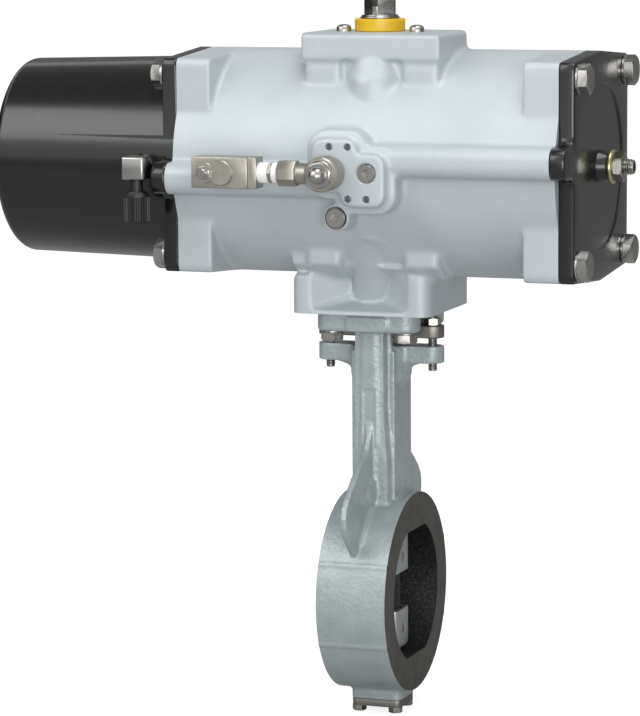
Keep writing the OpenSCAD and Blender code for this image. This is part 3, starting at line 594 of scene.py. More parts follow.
def studio():
    """Four softboxes, four grey cards, and a world that shows white but lights less."""
    softbox("key_softbox", (-1.15, -1.5, 1.5), 1.5, 1.2, 15)
    softbox("front_softbox", (0.85, -2.15, 0.05), 1.7, 1.3, 36)
    softbox("right_softbox", (1.7, -1.1, 0.1), 0.4, 1.4, 3.5)
    softbox("top_softbox", (0.45, -0.3, 2.2), 1.4, 1.2, 21)
    grey_card("card_behind", (0.0, 2.3, 0.5), (0, 0, 0.5), 6.0, 2.6, 0.2)
    grey_card("card_right", (2.6, 0.6, 0.5), (0, 0.3, 0.5), 3.4, 2.6, 0.21)
    grey_card("card_left", (-2.6, 0.6, 0.5), (0, 0.3, 0.5), 3.4, 2.6, 0.03)
    grey_card("card_above", (0, 0.8, 2.8), (0, 0.79, 0), 5.0, 4.0, 0.2)
    world = bpy.data.worlds.new("white_studio")
    bpy.context.scene.world = world
    world.use_nodes = True
    tree = world.node_tree
    tree.nodes.clear()
    path = add(tree, "ShaderNodeLightPath")
    seen = add(tree, "ShaderNodeMath", {0: path.outputs["Is Camera Ray"], 1: path.outputs["Is Glossy Ray"]},
               operation="MAXIMUM")
    seen = add(tree, "ShaderNodeMath", {0: seen.outputs[0], 1: path.outputs["Is Transmission Ray"]},
               operation="MAXIMUM")
    ambient = add(tree, "ShaderNodeBackground", {"Color": WHITE, "Strength": 0.52})
    white = add(tree, "ShaderNodeBackground", {"Color": WHITE, "Strength": 1.0})
    mixed = add(tree, "ShaderNodeMixShader", {0: seen.outputs[0], 1: ambient.outputs[0], 2: white.outputs[0]})
    add(tree, "ShaderNodeOutputWorld", {"Surface": mixed.outputs[0]})


def pale_floor():
    """A white paper floor that shows white in the picture and keeps the shadow."""
    low = cad_box[0][2]
    deselect()
    bpy.ops.mesh.primitive_plane_add(size=40, location=(0, 0, low - 0.0005))
    floor = active()
    floor.name = "paper_floor"
    material, tree = bare_material("white_paper")
    seen = add(tree, "ShaderNodeLightPath").outputs["Is Camera Ray"]
    paper = add(tree, "ShaderNodeBsdfDiffuse", {"Color": (0.42, 0.42, 0.42, 1)})
    shaded = add(tree, "ShaderNodeBsdfDiffuse", {"Color": (0.35, 0.35, 0.35, 1)})
    glow = add(tree, "ShaderNodeEmission", {"Color": WHITE, "Strength": 0.84})
    lit = add(tree, "ShaderNodeAddShader", {0: shaded.outputs[0], 1: glow.outputs[0]})
    mixed = add(tree, "ShaderNodeMixShader", {0: seen, 1: paper.outputs[0], 2: lit.outputs[0]})
    add(tree, "ShaderNodeOutputMaterial", {"Surface": mixed.outputs[0]})
    floor.data.materials.append(material)


# Castings: the shape of the CAD solid gets a foundry skin, then its machined places are cut again

def pull_out(piece, along, level, distance):
    """Extrudes the flat end of a piece that faces along a direction at a level."""
    take(piece)
    direction = Vector(along)
    mode("EDIT")
    bpy.ops.mesh.select_mode(type="FACE")
    choose("DESELECT")
    mode("OBJECT")
    for face in piece.data.polygons:
        off = abs(face.center.dot(direction) - level * MM)
        face.select = face.normal.dot(direction) > 0.999 and off < 0.05 * MM
    mode("EDIT")
    bpy.ops.mesh.extrude_region_move(TRANSFORM_OT_translate={"value": direction * distance * MM})
    bpy.ops.mesh.select_mode(type="VERT")
    mode("OBJECT")


def foundry_skin(piece, voxel, passes, soft_places=()):
    """Remeshes a piece evenly and smooths it, more in soft places: (test of a point in mm, passes)."""
    apply(piece, "REMESH", mode="VOXEL", voxel_size=voxel * MM, use_smooth_shade=True)
    apply(piece, "SMOOTH", factor=0.5, iterations=passes)
    for test, extra in soft_places:
        group = piece.vertex_groups.new(name="soft")
        chosen = [v.index for v in piece.data.vertices if test(v.co / MM)]
        group.add(chosen, 1.0, "REPLACE")
        apply(piece, "SMOOTH", factor=0.5, iterations=extra, vertex_group="soft")
        piece.vertex_groups.clear()
    return piece


def rod(axis, centre, radius, start, end, sides=48):
    """A plain round bar, for filling and cutting."""
    return turned("rod", axis, centre, [(start, radius), (end, radius)], sides)


def pillar(low, high, low_radius, high_radius):
    """A round pillar with level ends, each with its own centre and radius."""
    low, high = Vector(low) * MM, Vector(high) * MM
    piece = end_disc("pillar", low_radius, 48, low)
    draw_out(high - low, high_radius / low_radius, high)
    close_mesh()
    return piece


# Places and sizes of the model, in millimetres
BODY_LEFT, BODY_RIGHT = -114.0, 135.7
COVER_LEFT, COVER_RIGHT = -124.0, 145.7
MID_X = (BODY_LEFT + BODY_RIGHT) / 2
BORE_R = 62.5
ON_AXIS = (0, 0, AXIS_Z)
COVER_BOLTS = [(y, AXIS_Z + z) for y, z in four(55.0, 57.2)]
PAD_X, PAD_Y = 9.4, -92.0  # the port pad
PILOTS = [(PAD_X + x, AXIS_Z + z) for x, z in ((-12, 16), (0, 16), (0, -16), (12, -16))]
PORT_XS = (PAD_X - 12, PAD_X + 12)
PLUG = (-1, 0, AXIS_Z - 28.5)
TOP_Z = AXIS_Z + 83
FOOT_Z = AXIS_Z - 94
SCREW_XS, SCREW_Y = (-21.5, 27.1), -8
YOKE = 24.75  # half the spacing of the mounting bolts
RING_X = 23  # flat faces of the wafer ring
MOUNT_Z, SOLE_Z = 184, -70
GLAND_XS = (-34.6, 34.6)
FOOT_BOLTS = four(12.3, 11)
PIN_ZS = (-25, 22.5)
BREATHER_X = -133.5


def top_tongue(side):
    """Slanted round pillar that carries the top pad, on the front or the back, between its shoulders."""
    return [pillar((MID_X, side * 43.5, AXIS_Z + 54), (MID_X, side * 35.4, AXIS_Z + 70), 16, 16),
            block("beside_tongue", (MID_X - 23.5, side * 20, AXIS_Z + 30),
                  (MID_X + 23.5, side * 47, AXIS_Z + 70))]


def actuator_casting():
    """The die-cast cylinder: filled and drawn out, given its skin, then bored, faced and drilled."""
    body = cad_copy("actuator_body", "actuator_casting")
    pull_out(body, (-1, 0, 0), -BODY_LEFT, 3)
    pull_out(body, (1, 0, 0), BODY_RIGHT, 3)
    pull_out(body, (0, 0, -1), -FOOT_Z, 3)
    filling = [rod("x", ON_AXIS, BORE_R + 1, BODY_LEFT - 3, BODY_RIGHT + 3, 96),
               rod("z", ON_AXIS, 22, -97, -60), rod("z", ON_AXIS, 17, 60, 83),
               rod("y", PLUG, 7.8, -84, -66)]
    for y, z in COVER_BOLTS:
        filling += [rod("x", (0, y, z), 6, BODY_LEFT - 3, BODY_LEFT + 19, 16),
                    rod("x", (0, y, z), 6, BODY_RIGHT - 19, BODY_RIGHT + 3, 16)]
    filling += [rod("y", (x, 0, z), 3, PAD_Y, PAD_Y + 10, 16) for x, z in PILOTS]
    filling += [rod("y", (x, 0, AXIS_Z), 7, PAD_Y, PAD_Y + 20, 24) for x in PORT_XS]
    filling += [rod("z", (x, SCREW_Y, AXIS_Z), 3.5, 70, 83, 16) for x in SCREW_XS]
    filling += [rod("z", (x, y, AXIS_Z), 5, -97, -78, 16) for x, y in four(YOKE, YOKE)]
    # The top pad reaches out over its shoulders, further than in the model
    filling.append(slab("pad", "z", [
        (MID_X - 45.2, -52), (MID_X + 45.2, -52), (MID_X + 45.2, 5), (47.5, 29.5), (-42.9, 29.5),
        (-42.9, -27.5)], AXIS_Z + 67.4, TOP_Z))
    for side in (-1, 1):
        filling.extend(top_tongue(side))
        filling.append(block("shoulder", (MID_X + side * 32.15 - 11.65, -50.4, AXIS_Z + 40),
                             (MID_X + side * 32.15 + 11.65, 50.4, AXIS_Z + 69)))
    body = gather("actuator_casting", body, *filling)
    apply(body, "REMESH", mode="VOXEL", voxel_size=1.3 * MM)
    # Under the cylinder the tongues run down into the pockets as one round band
    edge = [(57.5, AXIS_Z - 44.8), (40.5, AXIS_Z - 62.5), (80, AXIS_Z - 62.5), (80, AXIS_Z - 44.8)]
    lips = [slab("lip", "x", to_side(side, edge), MID_X - 20, MID_X + 20) for side in (-1, 1)]
    cut_away(body, *lips)
    for side in (-1, 1):
        pocket = slab("pocket", "z", [(x, side * y) for x, y in (
            (-31.5, 54), (-31.5, 44.3), (-10.7, 27.2), (10.7, 27.2), (31.5, 44.3), (31.5, 54))],
            FOOT_Z + 2, FOOT_Z + 20)
        floor = slab("floor", "x", [(side * y, FOOT_Z + z) for y, z in (
            (54, 2.6), (43.5, 2.6), (27, 7.2), (20, 7.6), (20, 22), (54, 22))], -35, 35)
        cut_away(body, keep_within(pocket, floor))
    body = gather("actuator_casting", body, *[
        pillar((1, side * 16, AXIS_Z - 88), (MID_X, side * 43, AXIS_Z - 41), 13, 16) for side in (-1, 1)])

    def pad_root(p):
        return 65 < p.z - AXIS_Z < 78 and -24 < p.y < 24 and (41 < p.x < 66 or -55 < p.x < -36)

    def throat(p):
        return abs(p.x - MID_X) < 23 and abs(p.y) > 24 and -72 < p.z - AXIS_Z < -36

    def tongue_bend(p):
        return abs(p.x - MID_X) < 17 and abs(p.y) > 47 and 43 < p.z - AXIS_Z < 65

    foundry_skin(body, 1.2, 2, [(pad_root, 18), (throat, 12), (tongue_bend, 30)])
    cut_away(body, gather("faces", block("end", (BODY_LEFT - 9, -110, 180), (BODY_LEFT, 110, 380)),
                          block("end", (BODY_RIGHT, -110, 180), (BODY_RIGHT + 9, 110, 380)),
                          block("foot", (-80, -80, 160), (80, 80, FOOT_Z))))
    drills = [rod("x", ON_AXIS, BORE_R, BODY_LEFT - 9, BODY_RIGHT + 9, 128)]
    for x, z in PILOTS:
        drills.append(turned("pilot", "y", (x, 0, z),
                             [(PAD_Y - 1, 3.6), (PAD_Y + 0.6, 2.2), (PAD_Y + 9, 2.2)], 24))
    for x in PORT_XS:
        drills.append(turned("port", "y", (x, 0, AXIS_Z),
                             [(PAD_Y - 1, 8.0), (PAD_Y + 0.9, 6.1), (PAD_Y + 1.4, 5.8), (PAD_Y + 11, 5.8)]))
    drills.append(turned("plug_seat", "y", PLUG, [(-87, 7.2), (-80, 7.2), (-80, 4.7), (-70, 4.7)]))
    for y, z in COVER_BOLTS:
        drills.append(rod("x", (0, y, z), 5.05, BODY_LEFT - 9, BODY_LEFT + 18, 24))
        drills.append(rod("x", (0, y, z), 5.05, BODY_RIGHT - 18, BODY_RIGHT + 9, 24))
    drills += [rod("z", (x, y, AXIS_Z), 4.05, -99, -80, 24) for x, y in four(YOKE, YOKE)]
    cut_away(body, gather("drills", *drills))
    cut_away(body, gather("journals", rod("z", ON_AXIS, 21.1, -99, -50, 64),
                          rod("z", ON_AXIS, 16.1, 50, 90, 64)))
    smooth(body, 40)
    fit_out(body, "valve", enamel, "blue_grey_paint", "actuator_body")


def repaint(piece, material, test):
    """Gives the faces that pass a test (centre in mm, normal) another material."""
    piece.data.materials.append(material)
    index = len(piece.data.materials) - 1
    for face in piece.data.polygons:
        if test(face.center / MM, face.normal):
            face.material_index = index


def valve_casting():
    """The sand-cast wafer body: coarse skin all over, then faced, bored and drilled."""
    body = cad_copy("valve_body", "valve_casting")
    pull_out(body, (-1, 0, 0), RING_X, 2)
    pull_out(body, (1, 0, 0), RING_X, 2)
    pull_out(body, (0, 0, 1), MOUNT_Z, 2)
    pull_out(body, (0, 0, -1), -SOLE_Z, 2)
    filling = [rod("x", (0, 0, 0), 57, -25, -10, 96), rod("x", (0, 0, 0), 46.5, -15, 25, 96),
               rod("z", (0, 0, 0), 12, -72, 156), rod("z", (0, 0, 0), 14, 140, 161)]
    filling += [rod("z", (x, 0, 0), 4, 149.5, 161, 16) for x in GLAND_XS]
    filling += [rod("z", (x, y, 0), 5.5, 172, 186, 16) for x, y in four(YOKE, YOKE)]
    filling += [rod("z", (x, y, 0), 3.2, -72, -61, 16) for x, y in FOOT_BOLTS]
    filling.append(block("web", (-14.5, -17.2, 56), (14.5, 17.2, 158)))
    body = gather("valve_casting", body, *filling)
    apply(body, "REMESH", mode="VOXEL", voxel_size=0.95 * MM)
    # The model's fin is taken off and a thinner one, shaped as in the photograph, is set on
    around = [(100, 15), (100, 135), (25.2, 135), (25.2, 60.6)] + arc(0, 0, 65.7, 67.4, 15, 10)
    cut_away(body, *[slab("old_fin", "x", to_side(side, around), -4.4, 4.4) for side in (-1, 1)])
    # The legs of the neck stand in from its corners and widen at the foot
    for side in (-1, 1):
        beside = to_side(side, [(9.6, 171), (9.6, 120), (13.7, 66), (19, 66), (19, 171)])
        cut_away(body, slab("beside", "y", beside, -32, -17.3),
                 slab("beside", "y", beside, 17.3, 32))
    rim = [(12, 20), (12, 120), (23, 118), (25.6, 113), (26.6, 108), (28, 102), (32, 96), (40, 91), (49, 86),
           (57, 81), (64, 75.7), (70.5, 70.5), (75, 65.5), (77, 59), (76.5, 52.5), (73.5, 47.2), (68.5, 41.4),
           (62, 35.5), (54, 30.5), (50, 24), (40, 20)]
    fins = [slab("fin", "x", to_side(side, rim), -2.1, 2.1) for side in (-1, 1)]
    for fin in fins:
        soften(fin, 0.8, 60, 2)
    pips = [turned("pip", "x", (0, side * 29, 68.5),
                   [(-4.6, 4), (-3.8, 7), (-2, 9), (2, 9), (3.8, 7), (4.6, 4)], 32) for side in (-1, 1)]
    body = gather("valve_casting", body, *fins, *pips)
    foundry_skin(body, 0.95, 2)
    sand = bpy.data.textures.new("sand_waves", "CLOUDS")
    sand.noise_scale = 2.8 * MM
    apply(body, "DISPLACE", texture=sand, strength=0.18 * MM, mid_level=0.55, texture_coords="LOCAL")
    cut_away(body, gather("faces", block("face", (-30, -90, -90), (-RING_X, 90, 90)),
                          block("face", (RING_X, -90, -90), (30, 90, 90)),
                          block("mount", (-80, -80, MOUNT_Z), (80, 80, 190)),
                          block("foot", (-30, -30, -80), (30, 30, SOLE_Z))))
    # The flow opening is flat above and below, where the stem's hubs stand
    window = rod("x", (0, 0, 0), 45.3, -31, 31, 96)
    cut_away(body, keep_within(window, block("flats", (-40, -60, -41), (40, 60, 41))))
    cut_away(body, turned("seat_room", "x", (0, 0, 0),
                          [(-31, 56), (-17, 56), (-17, 47), (-11.5, 47)], 96))
    cut_away(body, turned("stem_bore", "z", (0, 0, 0), [
        (-75, 10.6), (-30, 10.6), (-30, 8.5), (30, 8.5), (30, 10.6), (72, 10.6), (72, 8.5), (146, 8.5),
        (146, 13), (166, 13)]))
    drills = [rod("z", (x, 0, 0), 3.05, 140, 166, 24) for x in GLAND_XS]
    drills += [rod("z", (x, y, 0), 4.4, 170, 188, 24) for x, y in four(YOKE, YOKE)]
    drills += [rod("z", (x, y, 0), 2.55, -75, -62, 16) for x, y in FOOT_BOLTS]
    cut_away(body, gather("drills", *drills))
    body.data.materials.clear()
    body.data.materials.append(cast_enamel)
    repaint(body, faced, lambda p, n: abs(n.x) > 0.98 and abs(abs(p.x) - RING_X) < 0.05)
    # The bore wall takes the near-black scale: partly its own cast scale, partly painted shade for the inside
    # of the bore
    repaint(body, scale, lambda p, n: abs(p.x) < RING_X - 0.01 and hypot(p.y, p.z) < 45.6)
    smooth(body, 40)
    fit_out(body, "valve", None, "silver_paint", "valve_body")


# Covers

def flange_outline(nose):
    """Outline of a cover as (y, z): sharp low peaks, corners and the nose of the air channel."""
    half = [(0, 72)] + [(-y, z) for y, z in reversed(arc(54, 62, 10, 0, 34.2, 4))]

    def neck(way, *angles):
        return [(-70 + 6 * cos(radians(a)), nose + way * (16 - 6 * sin(radians(a)))) for a in angles]

    channel = [(-64, nose + 16)] + neck(1, 20, 40, 60, 90)
    channel += arc(-78, nose + 2, 8, 90, 180, 6) + arc(-78, nose - 2, 8, 180, 270, 6)
    channel += neck(-1, 90, 60, 40, 20) + [(-64, nose - 16)]
    low = [(y, -z) for y, z in reversed(half)]
    right = [(-y, z) for y, z in low[::-1] + half[::-1]]
    points = half + channel + low + right[1:-1]
    return [(y, AXIS_Z + z) for y, z in points]


def spring_cup():
    """Deep-drawn spring housing on its plate, gloss black, with a boss for the breather."""
    plate = slab("spring_cup", "x", flange_outline(-7), COVER_LEFT, BODY_LEFT)
    soften(plate, 1.5, 45, 4)
    cut_away(plate, rod("x", ON_AXIS, 63.5, COVER_LEFT - 2, BODY_LEFT + 2, 128))
    round_end = [(-237 - 6 * sin(radians(a)), 57.5 + 6 * cos(radians(a)))
                 for a in (0, 15, 30, 45, 60, 75, 90)]
    cup = turned("cup", "x", ON_AXIS, [
        (-239, 59.5), (BODY_LEFT + 4.8, 62.0), (BODY_LEFT + 4.8, 62.4), (BODY_LEFT, 62.4), (BODY_LEFT, 66.4),
        (-237, 63.5)] + round_end[1:], 128)
    boss = turned("boss", "y", (BREATHER_X, 0, AXIS_Z), [(-62, 8), (-76, 8), (-77, 7)], 48)
    join_on(plate, cup, boss)
    cut_away(plate, rod("y", (BREATHER_X, 0, AXIS_Z), 4.5, -80, -50, 32))
    smooth(plate, 38)
    fit_out(plate, "valve", gloss, "black_paint", "spring_cover")


def end_plate():
    """Plain cover, gloss black, with a shallow round step and the boss of the travel stop."""
    plate = slab("end_plate", "x", flange_outline(7), BODY_RIGHT, COVER_RIGHT)
    soften(plate, 1.5, 45, 4)
    cut_away(plate, turned("step", "x", ON_AXIS, [(COVER_RIGHT - 1, 52), (COVER_RIGHT + 2, 54)], 128))
    join_on(plate, turned("boss", "x", ON_AXIS, [(COVER_RIGHT - 4, 11.5), (COVER_RIGHT - 0.9, 10.4),
                                                 (COVER_RIGHT + 4.5, 9.5), (COVER_RIGHT + 5.5, 8.6)], 64))
    smooth(plate, 38)
    fit_out(plate, "valve", gloss, "black_paint", "end_cover")


# Bolts, nuts and washers

def hexagon(axis, centre, flats, start, end, both=False, spin=0.0):
    """A hexagon with its corners turned off at the end, or at both ends."""
    head = prism("hexagon", axis, centre, flats, min(start, end), max(start, end), 6, spin)
    corner = flats / sqrt(3)
    way = 1 if end > start else -1
    depth = (corner - 0.475 * flats) * 0.577
    tip = 0.475 * flats - 0.5 / 0.577
    steps = [(end - way * depth, corner), (end + way * 0.5, tip)]
    if both:
        steps = [(start - way * 0.5, tip), (start + way * depth, corner)] + steps
    else:
        steps = [(start - way, corner)] + steps
    return keep_within(head, turned("cone", axis, centre, steps, 48))


def threaded(name, axis, centre, radius, start, end, pitch, sides=24):
    """A bar with thread ridges and a turned-off end."""
    root = radius - 0.55 * pitch
    turns = max(2, round(abs(end - start) / pitch))
    lead = (end - start) / turns
    steps = [(start, root)]
    for i in range(turns):
        crest = radius if 0 < i < turns - 1 else (radius + root) / 2
        steps += [(start + (i + 0.4) * lead, crest), (start + (i + 0.6) * lead, crest),
                  (start + (i + 1) * lead, root)]
    return turned(name, axis, centre, steps, sides)


def bright_part(name, node, *pieces, body="valve", angle=30):
    """Makes bare stainless pieces one object that stands for a node of the model."""
    fit_out(smooth(gather(name, *pieces), angle), body, bright, "stainless_steel", node)


def washer(axis, centre, hole, radius, start, end):
    """A flat washer with its outer edges broken."""
    edge = min(0.3, abs(end - start) * 0.3) * (1 if end > start else -1)
    return turned("washer", axis, centre, [
        (start, hole), (start, radius - abs(edge)), (start + edge, radius), (end - edge, radius),
        (end, radius - abs(edge)), (end, hole)], 48, ring=True)


def cover_fasteners():
    """Eight stainless bolts, M10 with 17 mm heads, and their washers."""
    bolts, washers = [], []
    tilts = [4, -7, 9, -3, 6, -8, 2, 11]
    for side, out in ((1, COVER_RIGHT), (-1, COVER_LEFT)):
        for y, z in COVER_BOLTS:
            spin = radians(30 + tilts[len(washers)])
            bolts.append(hexagon("x", (0, y, z), 17, out + side * 1.8, out + side * 8, spin=spin))
            bolts.append(threaded("shank", "x", (0, y, z), 5, out + side * 2, out - side * 27, 1.5))
            washers.append(washer("x", (0, y, z), 5.2, 9.2, out, out + side * 1.8))
    bright_part("hex_bolts", "cover_bolts", *bolts)
    bright_part("flat_washers", "cover_washers", *washers)


def travel_stop():
    """Stop bolt with a socket in its end, lock nut and yellow seal washer."""
    bolt = threaded("travel_stop_bolt", "x", ON_AXIS, 5, 94.8, COVER_RIGHT + 21, 1.5, 32)
    cut_away(bolt, prism("socket", "x", ON_AXIS, 5, COVER_RIGHT + 15, COVER_RIGHT + 24))
    bright_part("travel_stop_bolt", "stop_bolt", bolt, body="stop_screw")
    nut = hexagon("x", ON_AXIS, 17, COVER_RIGHT + 8.7, COVER_RIGHT + 15, True, radians(24))
    cut_away(nut, turned("bore", "x", ON_AXIS, [(COVER_RIGHT + 7, 5.05), (COVER_RIGHT + 14.4, 5.05),
                                                (COVER_RIGHT + 16, 6.4)], 48))
    bright_part("stop_lock_nut", "stop_nut", nut)
    out = COVER_RIGHT + 5.5
    seal = turned("yellow_seal_washer", "x", ON_AXIS, [
        (out, 5.3), (out, 9.4), (out + 0.4, 10.3), (out + 1.1, 10.8), (out + 2.1, 10.8), (out + 2.8, 10.3),
        (out + 3.2, 9.4), (out + 3.2, 5.3)], 64, ring=True)
    fit_out(smooth(seal, 60), "valve", chromate, "yellow_zinc", "stop_seal")


def yoke_fasteners():
    """Four M8 bolts up into the actuator, with washers."""
    bolts, washers = [], []
    for y, x in four(YOKE, YOKE):
        spin = radians(30 + 7 * len(washers))
        bolts.append(hexagon("z", (x, y, 0), 13, 170.5, 165.1, spin=spin))
        bolts.append(threaded("shank", "z", (x, y, 0), 4, 170.2, 197, 1.25))
        washers.append(washer("z", (x, y, 0), 4.2, 6.6, 170.5, 172))
    bright_part("mounting_bolts", "yoke_bolts", *bolts)
    bright_part("mounting_washers", "yoke_washers", *washers)


def gland_fasteners():
    """Two studs with nuts that pull the gland plate down."""
    studs, nuts = [], []
    for x in GLAND_XS:
        studs.append(threaded("stud", "z", (x, 0, 0), 3, 144.5, 182.5, 1.0))
        nut = hexagon("z", (x, 0, 0), 9.96, 174, 178.8, True, radians(18 + x))
        nuts.append(cut_away(nut, rod("z", (x, 0, 0), 3.05, 173, 180, 24)))
    bright_part("packing_studs", "gland_studs", *studs)
    bright_part("packing_nuts", "gland_nuts", *nuts)


def foot_bolts():
    """Four small hex bolts under the bottom cover."""
    bolts = []
    for x, y in FOOT_BOLTS:
        bolts.append(hexagon("z", (x, y, 0), 8, -75, -78.6, spin=radians(x + y)))
        bolts.append(threaded("shank", "z", (x, y, 0), 2.5, -75.2, -62.5, 0.8, 16))
    bright_part("foot_bolts", "bottom_cover_bolts", *bolts)


# Air fittings

BANJO = (PORT_XS[0], 0, AXIS_Z)
ARM_Y = PAD_Y - 8.4
ARM = (0, ARM_Y, AXIS_Z)


def banjo():
    """Turned and milled brass banjo with an octagonal end, nickel plated."""
    eye = turned("banjo", "y", BANJO, [
        (PAD_Y - 0.8, 10.0), (PAD_Y - 1.6, 10.8), (PAD_Y - 15, 10.8), (PAD_Y - 16, 9.8)], 64)
    arm = rod("x", ARM, 6.6, BANJO[0] - 18, BANJO[0] - 5)
    end = prism("end", "x", ARM, 15.6, BANJO[0] - 29, BANJO[0] - 17, 8, radians(22.5))
    soften(end, 0.8, 60, 2)
    join_on(eye, arm, end)
    cut_away(eye, rod("y", BANJO, 6.2, PAD_Y - 18, PAD_Y + 1))
    cut_away(eye, rod("x", ARM, 5.2, BANJO[0] - 31, BANJO[0] - 18))
    fit_out(smooth(eye, 35), "valve", plate_nickel, "nickel_plate", "banjo_fitting")
    bolt = hexagon("y", BANJO, 15, PAD_Y - 17.2, PAD_Y - 20.5, spin=radians(12))
    dome = [(PAD_Y - 21.9 - 5.1 * sin(radians(a)), 5.4 * cos(radians(a)))
            for a in (0, 20, 40, 60, 78)]
    cap = turned("dome", "y", BANJO, [(PAD_Y - 20, 5.6)] + dome, 48)
    collar = turned("collar", "y", BANJO, [
        (PAD_Y - 16, 8.2), (PAD_Y - 16.3, 8.7), (PAD_Y - 16.9, 8.7), (PAD_Y - 17.4, 8.2)], 48)
    screw = threaded("screw", "y", BANJO, 5.6, PAD_Y - 17, PAD_Y + 10, 1.3)
    bright_part("banjo_bolt", "banjo_bolt", bolt, cap, collar, screw)


def nipple_and_tape():
    """Threaded nipple with a narrow collar, sealed with white tape on both sides."""
    left = BANJO[0] - 44
    tube = threaded("threaded_nipple", "x", ARM, 5.15, left, BANJO[0] - 22, 1.3, 32)
    collar = hexagon("x", ARM, 11.6, left + 8.6, left + 11, True)
    fit_out(smooth(gather("threaded_nipple", tube, collar), 30), "valve", plate_nickel, "stainless_steel",
            "nipple")
    wraps = []
    for start, end, edge in ((left + 1.8, left + 8.5, 0.3), (left + 11.1, BANJO[0] - 29.1, 0.25)):
        wraps.append(turned("wrap", "x", ARM, [
            (start, 5.3), (start, 6.1), (start + edge, 6.35), (start + (end - start) * 0.4, 6.5),
            (start + (end - start) * 0.45, 6.38), (start + (end - start) * 0.8, 6.46), (end - edge, 6.3),
            (end, 6.0), (end, 5.3)], 48, ring=True))
    fit_out(smooth(gather("tape_wraps", *wraps), 50), "valve", tape, "white_tape", "thread_tape")


def flow_controller():
    """Brass block with two round bosses, a needle screw with a slot and its lock nut."""
    left = -86.9
    body = block("flow_controller", (left, ARM_Y - 8.4, AXIS_Z - 9.8),
                 (left + 37, ARM_Y + 7.2, AXIS_Z + 9.8))
    soften(body, 0.7, 60, 2)
    back = block("back", (left + 30, ARM_Y - 6, AXIS_Z - 9.79), (left + 42, ARM_Y + 7.19, AXIS_Z + 9.79))
    soften(back, 0.6, 60, 2)
    large = turned("large_boss", "y", (left + 19.5, 0, AXIS_Z), [
        (ARM_Y - 7, 8), (ARM_Y - 9.6, 8), (ARM_Y - 10.2, 7.4)], 64)
    small = turned("small_boss", "y", (left + 9.5, 0, AXIS_Z), [
        (ARM_Y - 7, 6.4), (ARM_Y - 9.8, 6.4), (ARM_Y - 10.2, 6.0)], 48)
    join_on(body, back, large, small)
    cut_away(body, rod("x", ARM, 5.7, left - 1, left + 11))
    cut_away(body, rod("y", (left + 19.5, 0, AXIS_Z), 5.6, ARM_Y - 11, ARM_Y - 9.8))
    cut_away(body, rod("y", (left + 9.5, 0, AXIS_Z), 3.05, ARM_Y - 12, ARM_Y - 6))
    fit_out(smooth(body, 35), "valve", plate_nickel, "nickel_plate", "speed_controller")
    where = (left + 9.5, 0, AXIS_Z)
    needle = threaded("needle_valve_screw", "y", where, 3, ARM_Y - 6.4, ARM_Y - 15.2, 0.8)
    tip = turned("tip", "y", where, [(ARM_Y - 15, 2.6), (ARM_Y - 15.4, 2.8), (ARM_Y - 15.8, 2.4)], 32)
    join_on(needle, tip)
    slot = block("slot", (-0.5, ARM_Y - 17, -5), (0.5, ARM_Y - 14.6, 5))
    slot.data.transform(Matrix.Translation(Vector(where) * MM) @ Matrix.Rotation(radians(-38), 4, "Y"))
    cut_away(needle, slot)
    bright_part("needle_valve_screw", "needle_screw", needle, body="needle")
    nut = hexagon("y", where, 8, ARM_Y - 10.2, ARM_Y - 13.4, spin=radians(10))
    cut_away(nut, rod("y", where, 3.05, ARM_Y - 15, ARM_Y - 9, 32))
    bright_part("needle_lock_nut", "needle_nut", nut)


def socket_plugs():
    """Two threaded plugs with a hexagon socket."""
    where = (PORT_XS[1], 0, AXIS_Z)
    plug = turned("plug", "y", where, [(PAD_Y + 9.2, 5.7), (PAD_Y + 0.9, 5.7), (PAD_Y + 0.3, 5.1)], 48)
    cut_away(plug, prism("socket", "y", where, 5, PAD_Y - 1, PAD_Y + 3.7, 6, 0.4))
    bright_part("port_socket_plug", "port_plug", plug)
    plug = turned("plug", "y", PLUG, [(-71, 4.6), (-80.3, 4.6), (-80.3, 6.4), (-84.6, 6.4), (-85.4, 5.6)], 48)
    cut_away(plug, prism("socket", "y", PLUG, 5.6, -87, -81.8, 6, 0.2))
    bright_part("channel_socket_plug", "channel_plug", plug)


def pan_screws():
    """Two pan-head screws with a cross recess in the top pad."""
    screws = []
    for x in SCREW_XS:
        where = (x, SCREW_Y, TOP_Z)
        head = turned("pan_head", "z", where, [(0, 4.7), (2.4, 4.7), (3.4, 4.2), (4.1, 3.2), (4.5, 1.6)], 32)
        for angle in (0.5, 0.5 + pi / 2):
            arm = block("arm", (-2.6, -0.5, 2.2), (2.6, 0.5, 6))
            arm.data.transform(Matrix.Translation(Vector(where) * MM) @ Matrix.Rotation(angle, 4, "Z"))
            cut_away(head, arm)
        screws += [head, rod("z", where, 2.45, -9, 0.2, 24)]
    bright_part("pan_screws", "top_screws", *screws, angle=35)


